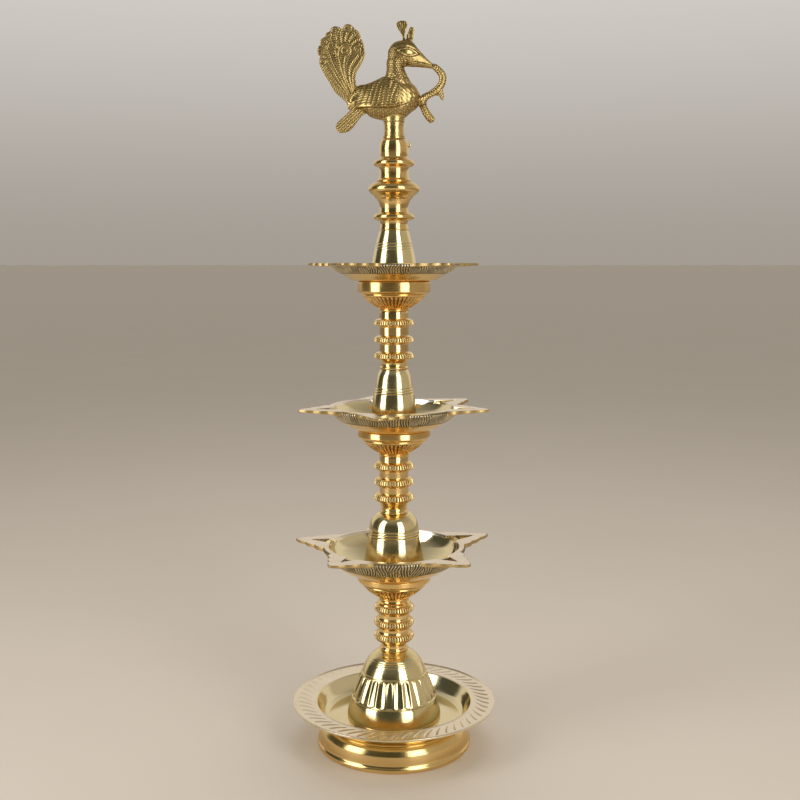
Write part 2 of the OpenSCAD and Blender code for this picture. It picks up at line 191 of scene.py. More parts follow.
def brass(name, light, dark, rough=0.12, rough_var=0.07, turning=0.0, grain=0.0, tarnish=0.35,
          relief=False, recess=(0.06, 0.04, 0.012), scratch=0.04, fine=900.0, edge=(1.0, 0.96, 0.88)):
    """A metal: light and dark are the two tones of its colour, turning is the depth of lathe marks."""
    m = bpy.data.materials.new(name)
    m.use_nodes = True
    nt = m.node_tree
    b = nt.nodes["Principled BSDF"]
    b.inputs["Metallic"].default_value = 1.0
    b.inputs["Specular Tint"].default_value = (*edge, 1)
    tc = node(nt, "ShaderNodeTexCoord")
    L = nt.links.new
    # broad tone drift, as where a cloth has polished more or less
    n1 = node(nt, "ShaderNodeTexNoise")
    n1.inputs["Scale"].default_value = 22.0
    n1.inputs["Detail"].default_value = 4.0
    L(tc.outputs["Object"], n1.inputs["Vector"])
    r1 = node(nt, "ShaderNodeMapRange")
    r1.inputs["From Min"].default_value = 0.38
    r1.inputs["From Max"].default_value = 0.68
    r1.inputs["To Max"].default_value = tarnish
    L(n1.outputs["Fac"], r1.inputs["Value"])
    mix = node(nt, "ShaderNodeMix", data_type="RGBA")
    mix.inputs["A"].default_value = (*light, 1)
    mix.inputs["B"].default_value = (*dark, 1)
    L(r1.outputs["Result"], mix.inputs["Factor"])
    colour = mix.outputs["Result"]
    # small specks of tarnish
    n2 = node(nt, "ShaderNodeTexNoise")
    n2.inputs["Scale"].default_value = 420.0
    n2.inputs["Detail"].default_value = 3.0
    L(tc.outputs["Object"], n2.inputs["Vector"])
    r2 = node(nt, "ShaderNodeMapRange")
    r2.inputs["From Min"].default_value = 0.66
    r2.inputs["From Max"].default_value = 0.78
    r2.inputs["To Max"].default_value = 0.45
    L(n2.outputs["Fac"], r2.inputs["Value"])
    mix2 = node(nt, "ShaderNodeMix", data_type="RGBA")
    mix2.inputs["B"].default_value = (dark[0] * 0.55, dark[1] * 0.5, dark[2] * 0.5, 1)
    L(r2.outputs["Result"], mix2.inputs["Factor"])
    L(colour, mix2.inputs["A"])
    colour = mix2.outputs["Result"]
    rel = None
    # painted shade: where the relief attribute is low, the recess colour darkens the hollows as if shade fell there
    if relief:
        at = node(nt, "ShaderNodeAttribute", attribute_name="relief")
        rel = at.outputs["Fac"]
        rr = node(nt, "ShaderNodeMapRange")
        rr.inputs["From Min"].default_value = 0.1
        rr.inputs["From Max"].default_value = 0.75
        rr.inputs["To Min"].default_value = 0.92
        rr.inputs["To Max"].default_value = 0.0
        L(rel, rr.inputs["Value"])
        mix3 = node(nt, "ShaderNodeMix", data_type="RGBA")
        mix3.inputs["B"].default_value = (*recess, 1)
        L(rr.outputs["Result"], mix3.inputs["Factor"])
        L(colour, mix3.inputs["A"])
        colour = mix3.outputs["Result"]
        rel = rr.outputs["Result"]
    L(colour, b.inputs["Base Color"])
    # roughness: drift, with duller recesses
    n3 = node(nt, "ShaderNodeTexNoise")
    n3.inputs["Scale"].default_value = 60.0
    n3.inputs["Detail"].default_value = 6.0
    L(tc.outputs["Object"], n3.inputs["Vector"])
    r3 = node(nt, "ShaderNodeMapRange")
    r3.inputs["From Min"].default_value = 0.3
    r3.inputs["From Max"].default_value = 0.72
    r3.inputs["To Min"].default_value = max(0.02, rough - rough_var * 0.4)
    r3.inputs["To Max"].default_value = rough + rough_var
    L(n3.outputs["Fac"], r3.inputs["Value"])
    rough_out = r3.outputs["Result"]
    if rel is not None:
        ad = node(nt, "ShaderNodeMath", operation="MULTIPLY_ADD")
        ad.inputs[1].default_value = 0.35
        L(rel, ad.inputs[0])
        L(rough_out, ad.inputs[2])
        rough_out = ad.outputs["Value"]
    L(rough_out, b.inputs["Roughness"])
    # bump: lathe marks follow the radius and the height, then hairlines, then casting grain
    normal = None
    sx = node(nt, "ShaderNodeSeparateXYZ")
    L(tc.outputs["Object"], sx.inputs[0])
    if turning > 0:
        xx = node(nt, "ShaderNodeMath", operation="MULTIPLY")
        L(sx.outputs["X"], xx.inputs[0]); L(sx.outputs["X"], xx.inputs[1])
        yy = node(nt, "ShaderNodeMath", operation="MULTIPLY_ADD")
        L(sx.outputs["Y"], yy.inputs[0]); L(sx.outputs["Y"], yy.inputs[1]); L(xx.outputs[0], yy.inputs[2])
        rad = node(nt, "ShaderNodeMath", operation="SQRT")
        L(yy.outputs[0], rad.inputs[0])
        cb = node(nt, "ShaderNodeCombineXYZ")
        L(rad.outputs[0], cb.inputs[0]); L(sx.outputs["Z"], cb.inputs[1])
        nz = node(nt, "ShaderNodeTexNoise")
        nz.inputs["Scale"].default_value = fine
        nz.inputs["Detail"].default_value = 3.0
        L(cb.outputs[0], nz.inputs["Vector"])
        bp = node(nt, "ShaderNodeBump")
        bp.inputs["Strength"].default_value = turning
        bp.inputs["Distance"].default_value = 0.0002
        L(nz.outputs["Fac"], bp.inputs["Height"])
        normal = bp.outputs["Normal"]
    if scratch > 0:
        mp = node(nt, "ShaderNodeMapping")
        mp.inputs["Scale"].default_value = (1.0, 1.0, 0.06)
        mp.inputs["Rotation"].default_value = (0.5, 0.35, 0.2)
        L(tc.outputs["Object"], mp.inputs["Vector"])
        ns = node(nt, "ShaderNodeTexNoise")
        ns.inputs["Scale"].default_value = 1400.0
        ns.inputs["Detail"].default_value = 2.0
        L(mp.outputs[0], ns.inputs["Vector"])
        bs = node(nt, "ShaderNodeBump")
        bs.inputs["Strength"].default_value = scratch
        bs.inputs["Distance"].default_value = 0.0001
        L(ns.outputs["Fac"], bs.inputs["Height"])
        if normal is not None:
            L(normal, bs.inputs["Normal"])
        normal = bs.outputs["Normal"]
    if grain > 0:
        ng = node(nt, "ShaderNodeTexNoise")
        ng.inputs["Scale"].default_value = 650.0
        ng.inputs["Detail"].default_value = 5.0
        L(tc.outputs["Object"], ng.inputs["Vector"])
        bg = node(nt, "ShaderNodeBump")
        bg.inputs["Strength"].default_value = grain
        bg.inputs["Distance"].default_value = 0.0005
        L(ng.outputs["Fac"], bg.inputs["Height"])
        if normal is not None:
            L(normal, bg.inputs["Normal"])
        normal = bg.outputs["Normal"]
    if normal is not None:
        L(normal, b.inputs["Normal"])
    return m


GOLD = brass("polished_gold_brass", (0.80, 0.57, 0.24), (0.70, 0.46, 0.16), rough=0.14, rough_var=0.08, turning=0.18)
PALE = brass("polished_pale_brass", (0.82, 0.69, 0.38), (0.75, 0.60, 0.28), rough=0.13, rough_var=0.07, turning=0.16)
CAST = brass("polished_cast_brass", (0.82, 0.58, 0.24), (0.68, 0.42, 0.13), rough=0.12, rough_var=0.09, turning=0.05,
             grain=0.10)
# the recess colour of the milled rings is painted shade in the tooth gaps and under the teeth
MILL = brass("milled_cast_brass", (0.82, 0.60, 0.27), (0.70, 0.46, 0.16), rough=0.11, rough_var=0.08, turning=0.05,
             relief=True, recess=(0.12, 0.065, 0.016))
# the recess colour of the fluted cups is painted shade in the flute hollows and under the lip of the band
FLUTED = brass("fluted_cast_brass", (0.82, 0.56, 0.22), (0.70, 0.43, 0.13), rough=0.14, rough_var=0.09, turning=0.05,
               relief=True, recess=(0.30, 0.13, 0.025), grain=0.06)
BOWL = brass("polished_bowl_brass", (0.85, 0.74, 0.47), (0.78, 0.64, 0.34), rough=0.10, rough_var=0.08, turning=0.12)
# painted reflection: the rims' and the flange's flat tops get a pale, nearly white colour for the pale wall they mirror
# at a low angle; their ground finish is the higher roughness
RIM = brass("ground_rim_brass_painted_sheen", (0.88, 0.79, 0.68), (0.82, 0.71, 0.56), rough=0.24, rough_var=0.10, turning=0.15,
            scratch=0.12)
# the recess colour of the chip-cut bands is painted shade on the low ground between the raised strokes
CUT = brass("chip_cut_brass", (0.78, 0.68, 0.47), (0.66, 0.55, 0.32), rough=0.24, rough_var=0.10, relief=True,
            recess=(0.075, 0.060, 0.030), grain=0.15)
# the recess colour of the flange is painted shade in its cuts
FLANGE = brass("ground_flange_brass_painted_sheen", (0.90, 0.80, 0.64), (0.84, 0.72, 0.50), rough=0.20, rough_var=0.08, turning=0.15,
               relief=True, recess=(0.64, 0.46, 0.21))
WICK = brass("sooty_channel_brass", (0.74, 0.56, 0.27), (0.56, 0.38, 0.15), rough=0.26, rough_var=0.12, tarnish=0.6,
             grain=0.10)
# the dishes' outer edge faces get a darker, duller brass
EDGE = brass("dull_dark_edge_brass", (0.60, 0.44, 0.20), (0.44, 0.30, 0.11), rough=0.38, rough_var=0.12, tarnish=0.6,
             grain=0.12)
# the peacock's dark hollows: partly antique patina, partly painted shade
BIRD = brass("antiqued_cast_brass_painted_shade", (0.68, 0.50, 0.21), (0.50, 0.34, 0.11), rough=0.22, rough_var=0.12, relief=True,
             recess=(0.060, 0.042, 0.013), grain=0.05, tarnish=0.65)
PLAIN = brass("machined_brass", (0.62, 0.46, 0.20), (0.45, 0.32, 0.12), rough=0.28, rough_var=0.12, turning=0.35,
              tarnish=0.7)

# ---------------------------------------------------------------- heights and outlines, as in the part

Z_FLOOR, Z_BELL0, Z_CUP1, Z_DISH1, Z_RIM1, Z_BELL1 = 34, 116, 180, 212, 248, 289
Z_CUP2, Z_DISH2, Z_RIM2, Z_BELL2, Z_CUP3, Z_DISH3, Z_RIM3, Z_BELL3 = 362, 395, 424.5, 471, 545, 583, 606, 647
Z_COL, Z_PIN = 763, 753
FOOT_R, FL_R, SHAFT, RING, BORE = 96.0, 127.0, 18.5, 25.5, 8.05


def sstep(a, b, x):
    t = np.clip((x - a) / (b - a), 0, 1)
    return t * t * (3 - 2 * t)


# ---------------------------------------------------------------- base
foot_out = smooth([(95, 0), (96.4, 2), (96.4, 5), (95.1, 7.2), (94.5, 9.6), (94.3, 14), (93.7, 19), (92.5, 22.5), (90.6, 26),
                   (87.8, 29), (84.5, 31)], 8)
foot = rounded(list(foot_out) + [(79, 31), (79, 28.4), (82.6, 26.8), (86, 23.6), (88.2, 19), (89.4, 13), (90.6, 7),
                                 (91.5, 0)], 0.5)
v, f, a = lathe(foot, 224)
make("foot_ring_turned", v, f, [GOLD], "base", ["foot_ring"])

under = smooth([(86, 31), (90.5, 35), (95, 41.5), (99, 46.5), (104.5, 50)], 6)
inside = smooth([(97, 52.4), (94.5, 47.5), (91, 41), (87.5, 36.5), (82, 34)], 7)
prof = rounded([(8.35, 31)] + refine([(8.35, 31), (86, 31)], 13)[1:-1] + list(under) +
               [(125, 50.8), (127, 52), (127.3, 54), (125.8, 54.6), (124.4, 53.2)], 0.5, closed=False)
top = refine([(124.4, 53.2), (99.5, 52.6)], 0.95)
prof2 = list(prof) + top[1:] + rounded([top[-1], (98.6, 53.2)] + list(inside) + [(60, 34)], 0.5, closed=False)[1:-1]
prof2 += refine([(82, 34), (8.35, 34)], 9)[1:]
N_CUT = 56


def flange(R, Z, T):
    """Slanting comma-shaped cuts round the flange."""
    up = (Z > 52.4) & (R > 99.6) & (R < 124.2)
    u = (R - 102.5) / (121.0 - 102.5)
    slant = 0.140 * (u - 0.5) + 0.022 * np.sin(np.clip(u, 0, 1) * PI)
    ph = ((T + slant) * N_CUT / TAU) % 1.0
    # each cut has one steep side and one long, shallow side
    s = (ph - 0.42) * np.where(ph > 0.42, 3.4, 1.75)
    width = 0.54 * np.clip(np.sin(np.clip(u, 0, 1) * PI), 0, 1) ** 0.5 * (0.62 + 0.38 * np.clip(u, 0, 1))
    cut = np.clip(1 - np.abs(s) / np.maximum(width, 1e-3), 0, 1) * (u > 0) * (u < 1) * up
    # the cuts are deeper toward the front right and painted darker there: painted shade in the cuts, stronger on that
    # side
    front_right_depth_and_shade = 0.62 + 0.38 * sstep(-0.4, 0.5, np.cos(T + 1.0))
    return R, Z - 1.0 * front_right_depth_and_shade * cut, 1 - front_right_depth_and_shade ** 2 * np.clip(cut * 1.5 - 0.4, 0, 1)


v, f, a = lathe(prof2, N_CUT * 12, flange)
V = np.array(v)
rr = np.hypot(V[:, 0], V[:, 1])
fm = []
for q in f:
    z = sum(V[i, 2] for i in q) / len(q)
    r = sum(rr[i] for i in q) / len(q)
    fm.append(1 if (98.2 < r < 127.5 and z > 51.2 and not (r > 126.2 and z < 53)) else 0)
make("drip_dish_turned", v, f, [BOWL, FLANGE], "base", ["base_dish"],
     attrs={"relief": a}, face_mats=fm)

for n in ("base_washer", "base_nut"):
    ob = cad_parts[n]
    ob.data.materials.clear()
    ob.data.materials.append(PLAIN)

# ---------------------------------------------------------------- bells
N_FL = 28


def grooves(zs, depth=0.45, w=0.7):
    def g(Z):
        d = 0
        for z in zs:
            d = d + depth * np.exp(-((Z - z) / w) ** 2)
        return d
    return g


bell0 = smooth([(58.6, 34), (59.0, 35.6), (58.6, 38.5), (57.4, 43), (56.1, 47.5), (54.7, 52.5), (53.3, 57.4), (50.5, 67), (46, 78), (41.6, 88),
                (37.5, 97), (32.5, 105.5), (26.5, 111.5), (19, 116)], 9)
bell0 = refine(bell0, 0.75)
in0 = [(8.35, 116), (8.35, 109), (20, 108), (29, 100), (37, 85), (45, 67), (49, 52), (49, 44), (45, 34)]


def flutes(R, Z, T):
    outer = R > np.interp(Z, [34, 44, 52, 67, 85, 100, 108, 109], [47, 51, 51, 47.5, 39, 31, 22, 18])
    zz = np.clip((Z - 59.2) / (87.6 - 59.2), 0, 1)
    inz = (Z > 59.2) & (Z < 87.6)
    s = np.abs(((T * N_FL / TAU) % 1.0) - 0.5) * 2
    arch = np.clip((87.6 - Z) / 3.2, 0, 1)
    w = 0.93 * np.sqrt(np.clip(1 - (1 - arch) ** 2, 0, 1)) * np.clip((Z - 59.2) / 0.8, 0, 1)
    q = np.clip(1 - (s / np.maximum(w, 1e-3)) ** 2, 0, 1)
    depth = (0.95 + 0.75 * zz) * q * inz
    bead = 0.55 * np.exp(-((Z - 58.2) / 0.55) ** 2) - 0.25 * np.exp(-((Z - 56.9) / 0.5) ** 2)
    topl = 0.35 * np.exp(-((Z - 88.7) / 0.5) ** 2) - 0.35 * np.exp(-((Z - 90.0) / 0.5) ** 2)
    g = grooves([103.2, 105.2, 107.2], 0.32, 0.45)(Z)
    d = -depth + bead + topl - g
    return R + d * outer, Z


v, f, a = lathe(list(bell0) + in0, N_FL * 14, flutes)
make("lower_bell_fluted", v, f, [PALE], "lower_section", ["lower_bell"], sharp=50)


def bell(name, pts, inner, body, cad, lines, z0):
    out = refine(rounded(smooth(pts, 9), 0.4, closed=False), 0.8)
    g = grooves(lines, 0.42, 0.5)
    inner_r = sorted((z, r) for r, z in inner)

    def shape(R, Z, T):
        lim = np.interp(Z, [q[0] for q in inner_r], [q[1] for q in inner_r]) + 1.0
        return R - g(Z) * (R > lim), Z
    v, f, a = lathe(list(out) + inner[::-1], 176, shape)
    return make(name, v, f, [PALE], body, [cad])


bell("middle_bell_turned", [(42, 214.5), (41.4, 217), (39.8, 222), (37.3, 232), (35.2, 243), (33.2, 255), (32, 265),
                            (30.8, 274), (28.4, 281), (23.8, 287), (19, 289)],
     [(36.5, 214.5), (33, 232), (29.5, 255), (28, 268), (24, 279), (8.35, 282), (8.35, 289)],
     "middle_section", "middle_bell", [262.0, 265.2, 268.6], 214.5)
bell("upper_bell_turned", [(30.4, 397.5), (29.4, 404), (28.6, 413), (28.1, 421), (27.2, 430), (25.8, 439), (24, 448),
                           (22.4, 457), (20.4, 465), (17.5, 471)],
     [(26.5, 397.5), (24.5, 421), (21, 446), (17, 462), (8.35, 465), (8.35, 471)],
     "upper_section", "upper_bell", [441.5, 444.6, 447.8], 397.5)
bell("top_bell_turned", [(32.4, 585.5), (30.6, 592), (28.6, 602), (26.4, 614), (24.2, 625), (21.6, 636), (18.4, 647)],
     [(28.5, 585.5), (24.5, 604), (20, 625), (16, 638), (8.35, 641), (8.35, 647)],
     "top_section", "top_bell", [623.5, 627.0, 630.6], 585.5)

# ---------------------------------------------------------------- stems with milled rings
TEETH = 44


def ring_at(z, r0, hd, hu):
    """A ring with its crest at z: hd deep below the crest and hu above it."""
    return [(r0, z - hd), (r0 + 0.9, z - hd + 0.5), (RING - 2.2, z - 0.70 * hd), (RING - 0.5, z - 3.0), (RING, z - 2.2),
            (RING - 0.2, z - 1.0), (RING - 0.7, z + 0.8), (RING - 1.3, z + 2.4), (RING - 2.3, z + 3.4),
            (RING - 3.9, z + 4.2), (r0 + 0.5, z + hu - 0.4), (r0, z + hu)]


def stem(name, z0, z1, rings, r0, hd, hu, body, cad):
    p = [(BORE, z0), (16.4, z0), (17.8, z0 + 1), (18, z0 + 2.4), (17.4, z0 + 3.6), (16.3, z0 + 4.6), (16.1, z0 + 7),
         (16.7, z0 + 9.2)]
    for z in rings:
        p += ring_at(z, r0, hd, hu)
    p += [(SHAFT - 0.3, z1 - 1.6), (SHAFT - 0.5, z1), (10.1, z1), (10.1, z1 - 14), (11, z1 - 18), (11, z0 + 26),
          (BORE, z0 + 22)]
    p = rounded(p, 0.7, 4)

    def mill(R, Z, T):
        s = np.abs(((T * TEETH / TAU) % 1.0) - 0.5) * 2
        w = np.zeros_like(R)
        low = np.zeros_like(R)
        for zr_ in rings:
            d = Z - zr_
            near = (d > -hd) & (d < hu) & (R > r0 - 0.5)
            # teeth from just under the crest to the top of the bevel
            w = np.maximum(w, near * sstep(-2.7, -2.0, d) * (1 - sstep(2.9, 3.8, d)))
            # a fine serrated edge where the teeth end
            low = np.maximum(low, near * np.exp(-((d + 3.1) / 0.5) ** 2))
        gap = np.clip((s - 0.50) / 0.30, 0, 1)
        # rel paints shade into the tooth gaps and along the serrated edge under the teeth
        rel = 1 - 0.95 * w * gap - 0.75 * low * (1 - 0.5 * s)
        return R - w * (0.42 * s ** 2 + 1.1 * gap) - 0.35 * low, Z, rel
    v, f, a = lathe(refine(p + [p[0]], 0.75)[:-1], TEETH * 14, mill)
    return make(name, v, f, [MILL], body, [cad], sharp=60, attrs={"relief": a})


stem("lower_stem_turned", Z_BELL0, Z_CUP1, [134.8, 151.9, 170.3], SHAFT + 1.6, 7.4, 6.4, "lower_section", "lower_stem")
stem("middle_stem_turned", Z_BELL1, Z_CUP2, [309.9, 329.5, 349.4], SHAFT, 6.8, 5.2, "middle_section", "middle_stem")
stem("upper_stem_turned", Z_BELL2, Z_CUP3, [488.6, 509, 530.5], SHAFT, 5.6, 5.2, "upper_section", "upper_stem")

# ---------------------------------------------------------------- cups
N_CF = 42


def cup(name, z0, z1, body, cad):
    p = [(0, z0 - 12), (9.95, z0 - 12), (9.95, z0), (18.6, z0), (19.6, z0 + 1), (19.6, z0 + 2.2), (18.6, z0 + 3)]
    p += smooth([(19.4, z0 + 3.4), (24, z0 + 6.2), (30, z0 + 10), (35.6, z0 + 14.6), (38.4, z0 + 18.4)], 7)
    p += [(40.6, z0 + 19), (41.4, z0 + 20.4), (40.8, z0 + 21.6), (43.6, z0 + 22.8), (45.6, z0 + 24.4),
          (46.2, z0 + 25.2), (46, z1 - 1.2), (45.2, z1 - 0.3), (44.2, z1), (BORE, z1), (BORE, z1 - 21), (0, z1 - 21)]
    p = refine(rounded(p, 0.6, 4), 1.0)

    def flute(R, Z, T):
        inz = sstep(z0 + 3.6, z0 + 5.0, Z) * (1 - sstep(z0 + 16.6, z0 + 18.2, Z))
        s = np.abs(((T * N_CF / TAU) % 1.0) - 0.5) * 2
        q = np.clip(1 - (s / 0.60) ** 2, 0, 1)
        on = inz * (R > 16) * (R < 40.4)
        d = on * q ** 0.8 * (0.9 + 0.9 * sstep(20, 34, R)) - on * 0.22 * np.clip((s - 0.6) / 0.4, 0, 1)
        # painted shade: a dark line painted under the lip of the band, with no groove cut for it; the flute hollows are
        # painted darker too
        line = 0.5 * np.exp(-((Z - (z0 + 23.0)) / 0.55) ** 2) * (R > 41)
        rel = 1 - 0.95 * on * np.clip((q - 0.25) / 0.5, 0, 1) - 0.6 * line
        return R - d * 0.62, Z + d * 0.78, rel
    v, f, a = lathe(p, N_CF * 12, flute)
    return make(name, v, f, [FLUTED], body, [cad], sharp=55, attrs={"relief": a})


cup("lower_cup_fluted", Z_CUP1, Z_DISH1, "lower_section", "lower_cup")
cup("middle_cup_fluted", Z_CUP2, Z_DISH2, "middle_section", "middle_cup")
cup("upper_cup_fluted", Z_CUP3, Z_DISH3, "upper_section", "upper_cup")

# ---------------------------------------------------------------- oil dishes
HALF, TIP_T, BACK = 23.0, 3.0, 22.0
C0 = 5.0        # half of the columns' span given to a wick channel


def oil_dish(name, z, rb, ri, out, inn, beaks, body, cad):
    o_prof = np.array(smooth([(rb, 3.4)] + [tuple(q) for q in out], 8))
    o_prof[:, 1] *= -1
    i_prof = np.array(smooth([(ri, 0)] + [tuple(q) for q in inn], 8))
    i_prof[:, 1] *= -1
    zo_r, zo_z = o_prof[::-1, 0], o_prof[::-1, 1]
    zi_r, zi_z = i_prof[::-1, 0], i_prof[::-1, 1]

    def w_at(r, R):
        """Half of the angle a wick channel spans at radius r, in degrees."""
        x0 = R - BACK
        x = np.clip(r, x0 - 42, x0)
        hw = 1.35 + (x0 - x) / 42 * (18.3 - 1.35)
        w = np.degrees(np.arctan2(hw, x))
        return np.where(r > x0, 0.9 + (0.3 - 0.9) * np.clip((r - x0) / BACK, 0, 1), np.maximum(w, 0.9))

    # columns: (beak or None, t in degrees, centre angle, outer radius)
    cols = []
    beaks = sorted(beaks)
    for k, (ang, R) in enumerate(beaks):
        half = []
        b = (rb - 0.02) * np.array([math.cos(math.radians(HALF)), math.sin(math.radians(HALF))])
        e = np.array([R, 1.2])
        d = e - b
        nrm = np.array([-d[1], d[0]]) / np.linalg.norm(d)
        for i in range(30, -1, -1):
            tt = i / 30
            q = b + d * tt + nrm * 2.6 * abs(math.sin(math.radians(540 * tt))) * (1 - 0.35 * tt)
            th, rr_ = math.degrees(math.atan2(q[1], q[0])), float(np.hypot(*q))
            w = float(w_at(np.array(rr_), R))
            half.append((C0 + 0.25 + (th - w) / (26 - w) * (26 - C0 - 0.25), max(rr_, rb)))
        half = [h for i, h in enumerate(half) if i == 0 or h[0] > half[i - 1][0] + 1e-3]
        inner = [(0.0, R), (C0 * 0.3, R), (C0 * 0.6, R), (C0 * 0.85, R), (C0 * 0.97, R), (C0, R)]
        pos = inner + half + [(24.2, rb), (25.1, rb)]
        pos = [p for i, p in enumerate(pos) if i == 0 or p[0] > pos[i - 1][0] + 1e-3]
        for t, r_ in reversed(pos[1:]):
            cols.append((k, -t, r_))
        for t, r_ in pos:
            cols.append((k, t, r_))
        a0, a1 = ang + 26, beaks[(k + 1) % len(beaks)][0] - 26 + (360 if k == len(beaks) - 1 else 0)
        m = max(3, int((a1 - a0) / 1.5))
        for j in range(m + 1):
            cols.append((None, a0 + (a1 - a0) * j / m, rb))
    nc = len(cols)
    Rout = np.array([c[2] for c in cols])
    Rk = np.array([beaks[c[0]][1] if c[0] is not None else 1e3 for c in cols])
    Ak = np.array([beaks[c[0]][0] if c[0] is not None else 0.0 for c in cols], float)
    Tk = np.array([c[1] for c in cols], float)
    isb = np.array([c[0] is not None for c in cols])

    def theta(r):
        """Column angles, in radians, at radii r (one for each column)."""
        w = w_at(r, np.where(isb, Rk, 130.0))
        at = np.abs(Tk)
        off = np.where(at <= C0, at / C0 * w, w + (np.maximum(at, C0) - C0) / (26 - C0) * (26 - w))
        off = off * np.sign(Tk)
        return np.radians(np.where(isb, Ak + off, Tk)), off

    rows_v, rows_tag, rows_rel = [], [], []

    def add(r, zz, tag, rel=None):
        th, off = theta(r)
        rows_v.append(np.stack([r * np.cos(th), r * np.sin(th), zz + z], -1))
        rows_tag.append(tag)

    ones = np.ones(nc)

    def chan(r):
        """Floor of the wick channels, or a high value away from them."""
        th, off = theta(r)
        x = r * np.cos(np.radians(off))
        fl = -2.1 + (x - (Rk - BACK)) * math.tan(math.radians(2.5)) - 0.25 * np.clip(1 - np.abs(Tk) / C0, 0, 1)
        ok = isb & (np.abs(Tk) < C0 * 0.98) & (x < Rk - BACK + 1.4)
        ramp = np.clip((Rk - BACK + 1.6 - x) / 1.4, 0, 1)
        return np.where(ok, fl * ramp ** 0.6, 1.0)

    zo0 = -out[-1][1]
    zi0 = -inn[-1][1]
    # underside, from the bore out
    for r in (BORE, 20.0, 34.0, out[-1][0] - 0.4):
        add(r * ones, zo0 * ones, "u")
    rA = rb * 0.8
    for r in np.linspace(out[-1][0], rA, 20):
        add(r * ones, np.interp(r, zo_r, zo_z) * ones, "u")

    def zunder(r, edge=0.0):
        th, off = theta(r)
        x = r * np.cos(np.radians(off))
        zb = np.maximum(-(TIP_T + (Rk - x) * math.tan(math.radians(2.5))), -6.4)
        zo = np.where(r <= rb, np.interp(np.minimum(r, rb), zo_r, zo_z), 5.0)
        side = 1 - sstep(20.5, 23.6, np.abs(off))
        side = np.where(isb, side, 0) * sstep(rA, rA + 2.0, r)
        low = np.minimum(zb, zo)
        inside_ = np.where(isb, zo * (1 - side) + low * side, zo)
        return np.where(r <= rb - 0.3, inside_, np.where(Rout > rb + 0.2, zb, np.minimum(zo, -3.4)))
    nv = 26
    for j in range(1, nv):
        r = rA + (Rout - rA) * (j / nv)
        add(r, zunder(r), "u")
    # the edge, with small rounds
    ze = zunder(Rout - 0.01)
    ze = np.minimum(ze, -2.6)
    for k_, (dr, dz) in enumerate([(0.9, 0.0), (0.32, 0.06), (0.08, 0.3), (0.0, 0.8)]):
        add(Rout - dr, ze + dz, "e")
    for k_, (dr, dz) in enumerate([(0.0, -0.7), (0.08, -0.25), (0.3, -0.05), (0.8, 0.0)]):
        add(Rout - dr, dz * ones, "e")
    # the flat top, inwards
    us = set(np.linspace(0.97, 0.02, 28).tolist())
    Rm = np.mean([b[1] for b in beaks])
    for extra in (BACK - 1.8, BACK - 1.2, BACK - 0.6, BACK, BACK + 0.8):
        us.add(float((Rm - extra - ri) / (Rm - ri)))
    for u in sorted(us, reverse=True):
        r = ri + (Rout - ri) * u
        add(r, np.minimum(0, chan(r)), "t")
    for dr, dz in ((0.35, -0.02), (0.0, -0.16), (-0.3, -0.6)):
        r = (ri + dr) * ones
        add(r, np.minimum(dz, chan(r)), "t")
    for r in np.linspace(ri - 0.75, 45.0, 34):
        rr2 = r * ones
        add(rr2, np.minimum(np.interp(r, zi_r, zi_z), chan(rr2)), "b")
    for r in (inn[-1][0], 34.0, 20.0, BORE):
        add(r * ones, zi0 * ones, "b")
    V = np.stack(rows_v)          # rows, columns, 3
    nr = len(V)
    idx = np.arange(nr * nc).reshape(nr, nc)
    nx = np.roll(idx, -1, 1)
    faces, fmats = [], []
    inner_ch = np.where(isb & (np.abs(Tk) < C0 * 0.999), True, False)
    Rr = np.hypot(V[..., 0], V[..., 1])
    for i in range(nr):
        k_ = (i + 1) % nr
        q = np.stack([idx[i], nx[i], nx[k_], idx[k_]], -1)
        faces += q.tolist()
        tag = rows_tag[i]
        if tag == "u":
            base = 0
        elif tag == "e":
            base = 4
        elif tag == "t":
            base = 1
        else:
            base = 2
        row = np.full(nc, base)
        if tag in ("t", "b"):
            x = Rr[i]
            zz = V[i, :, 2] - z
            deep = (zz < -0.6) & inner_ch & (np.roll(inner_ch, -1) | inner_ch)
            outer_part = x > Rk - BACK - 15
            row = np.where(deep & outer_part & (tag == "t"), 3, row)
            row = np.where(deep & ~outer_part & (tag == "t"), 2, row)
        fmats += row.astype(int).tolist()
    return make(name, V.reshape(-1, 3), faces, [GOLD, RIM, BOWL, WICK, EDGE], body, [cad], sharp=32,
                face_mats=fmats)


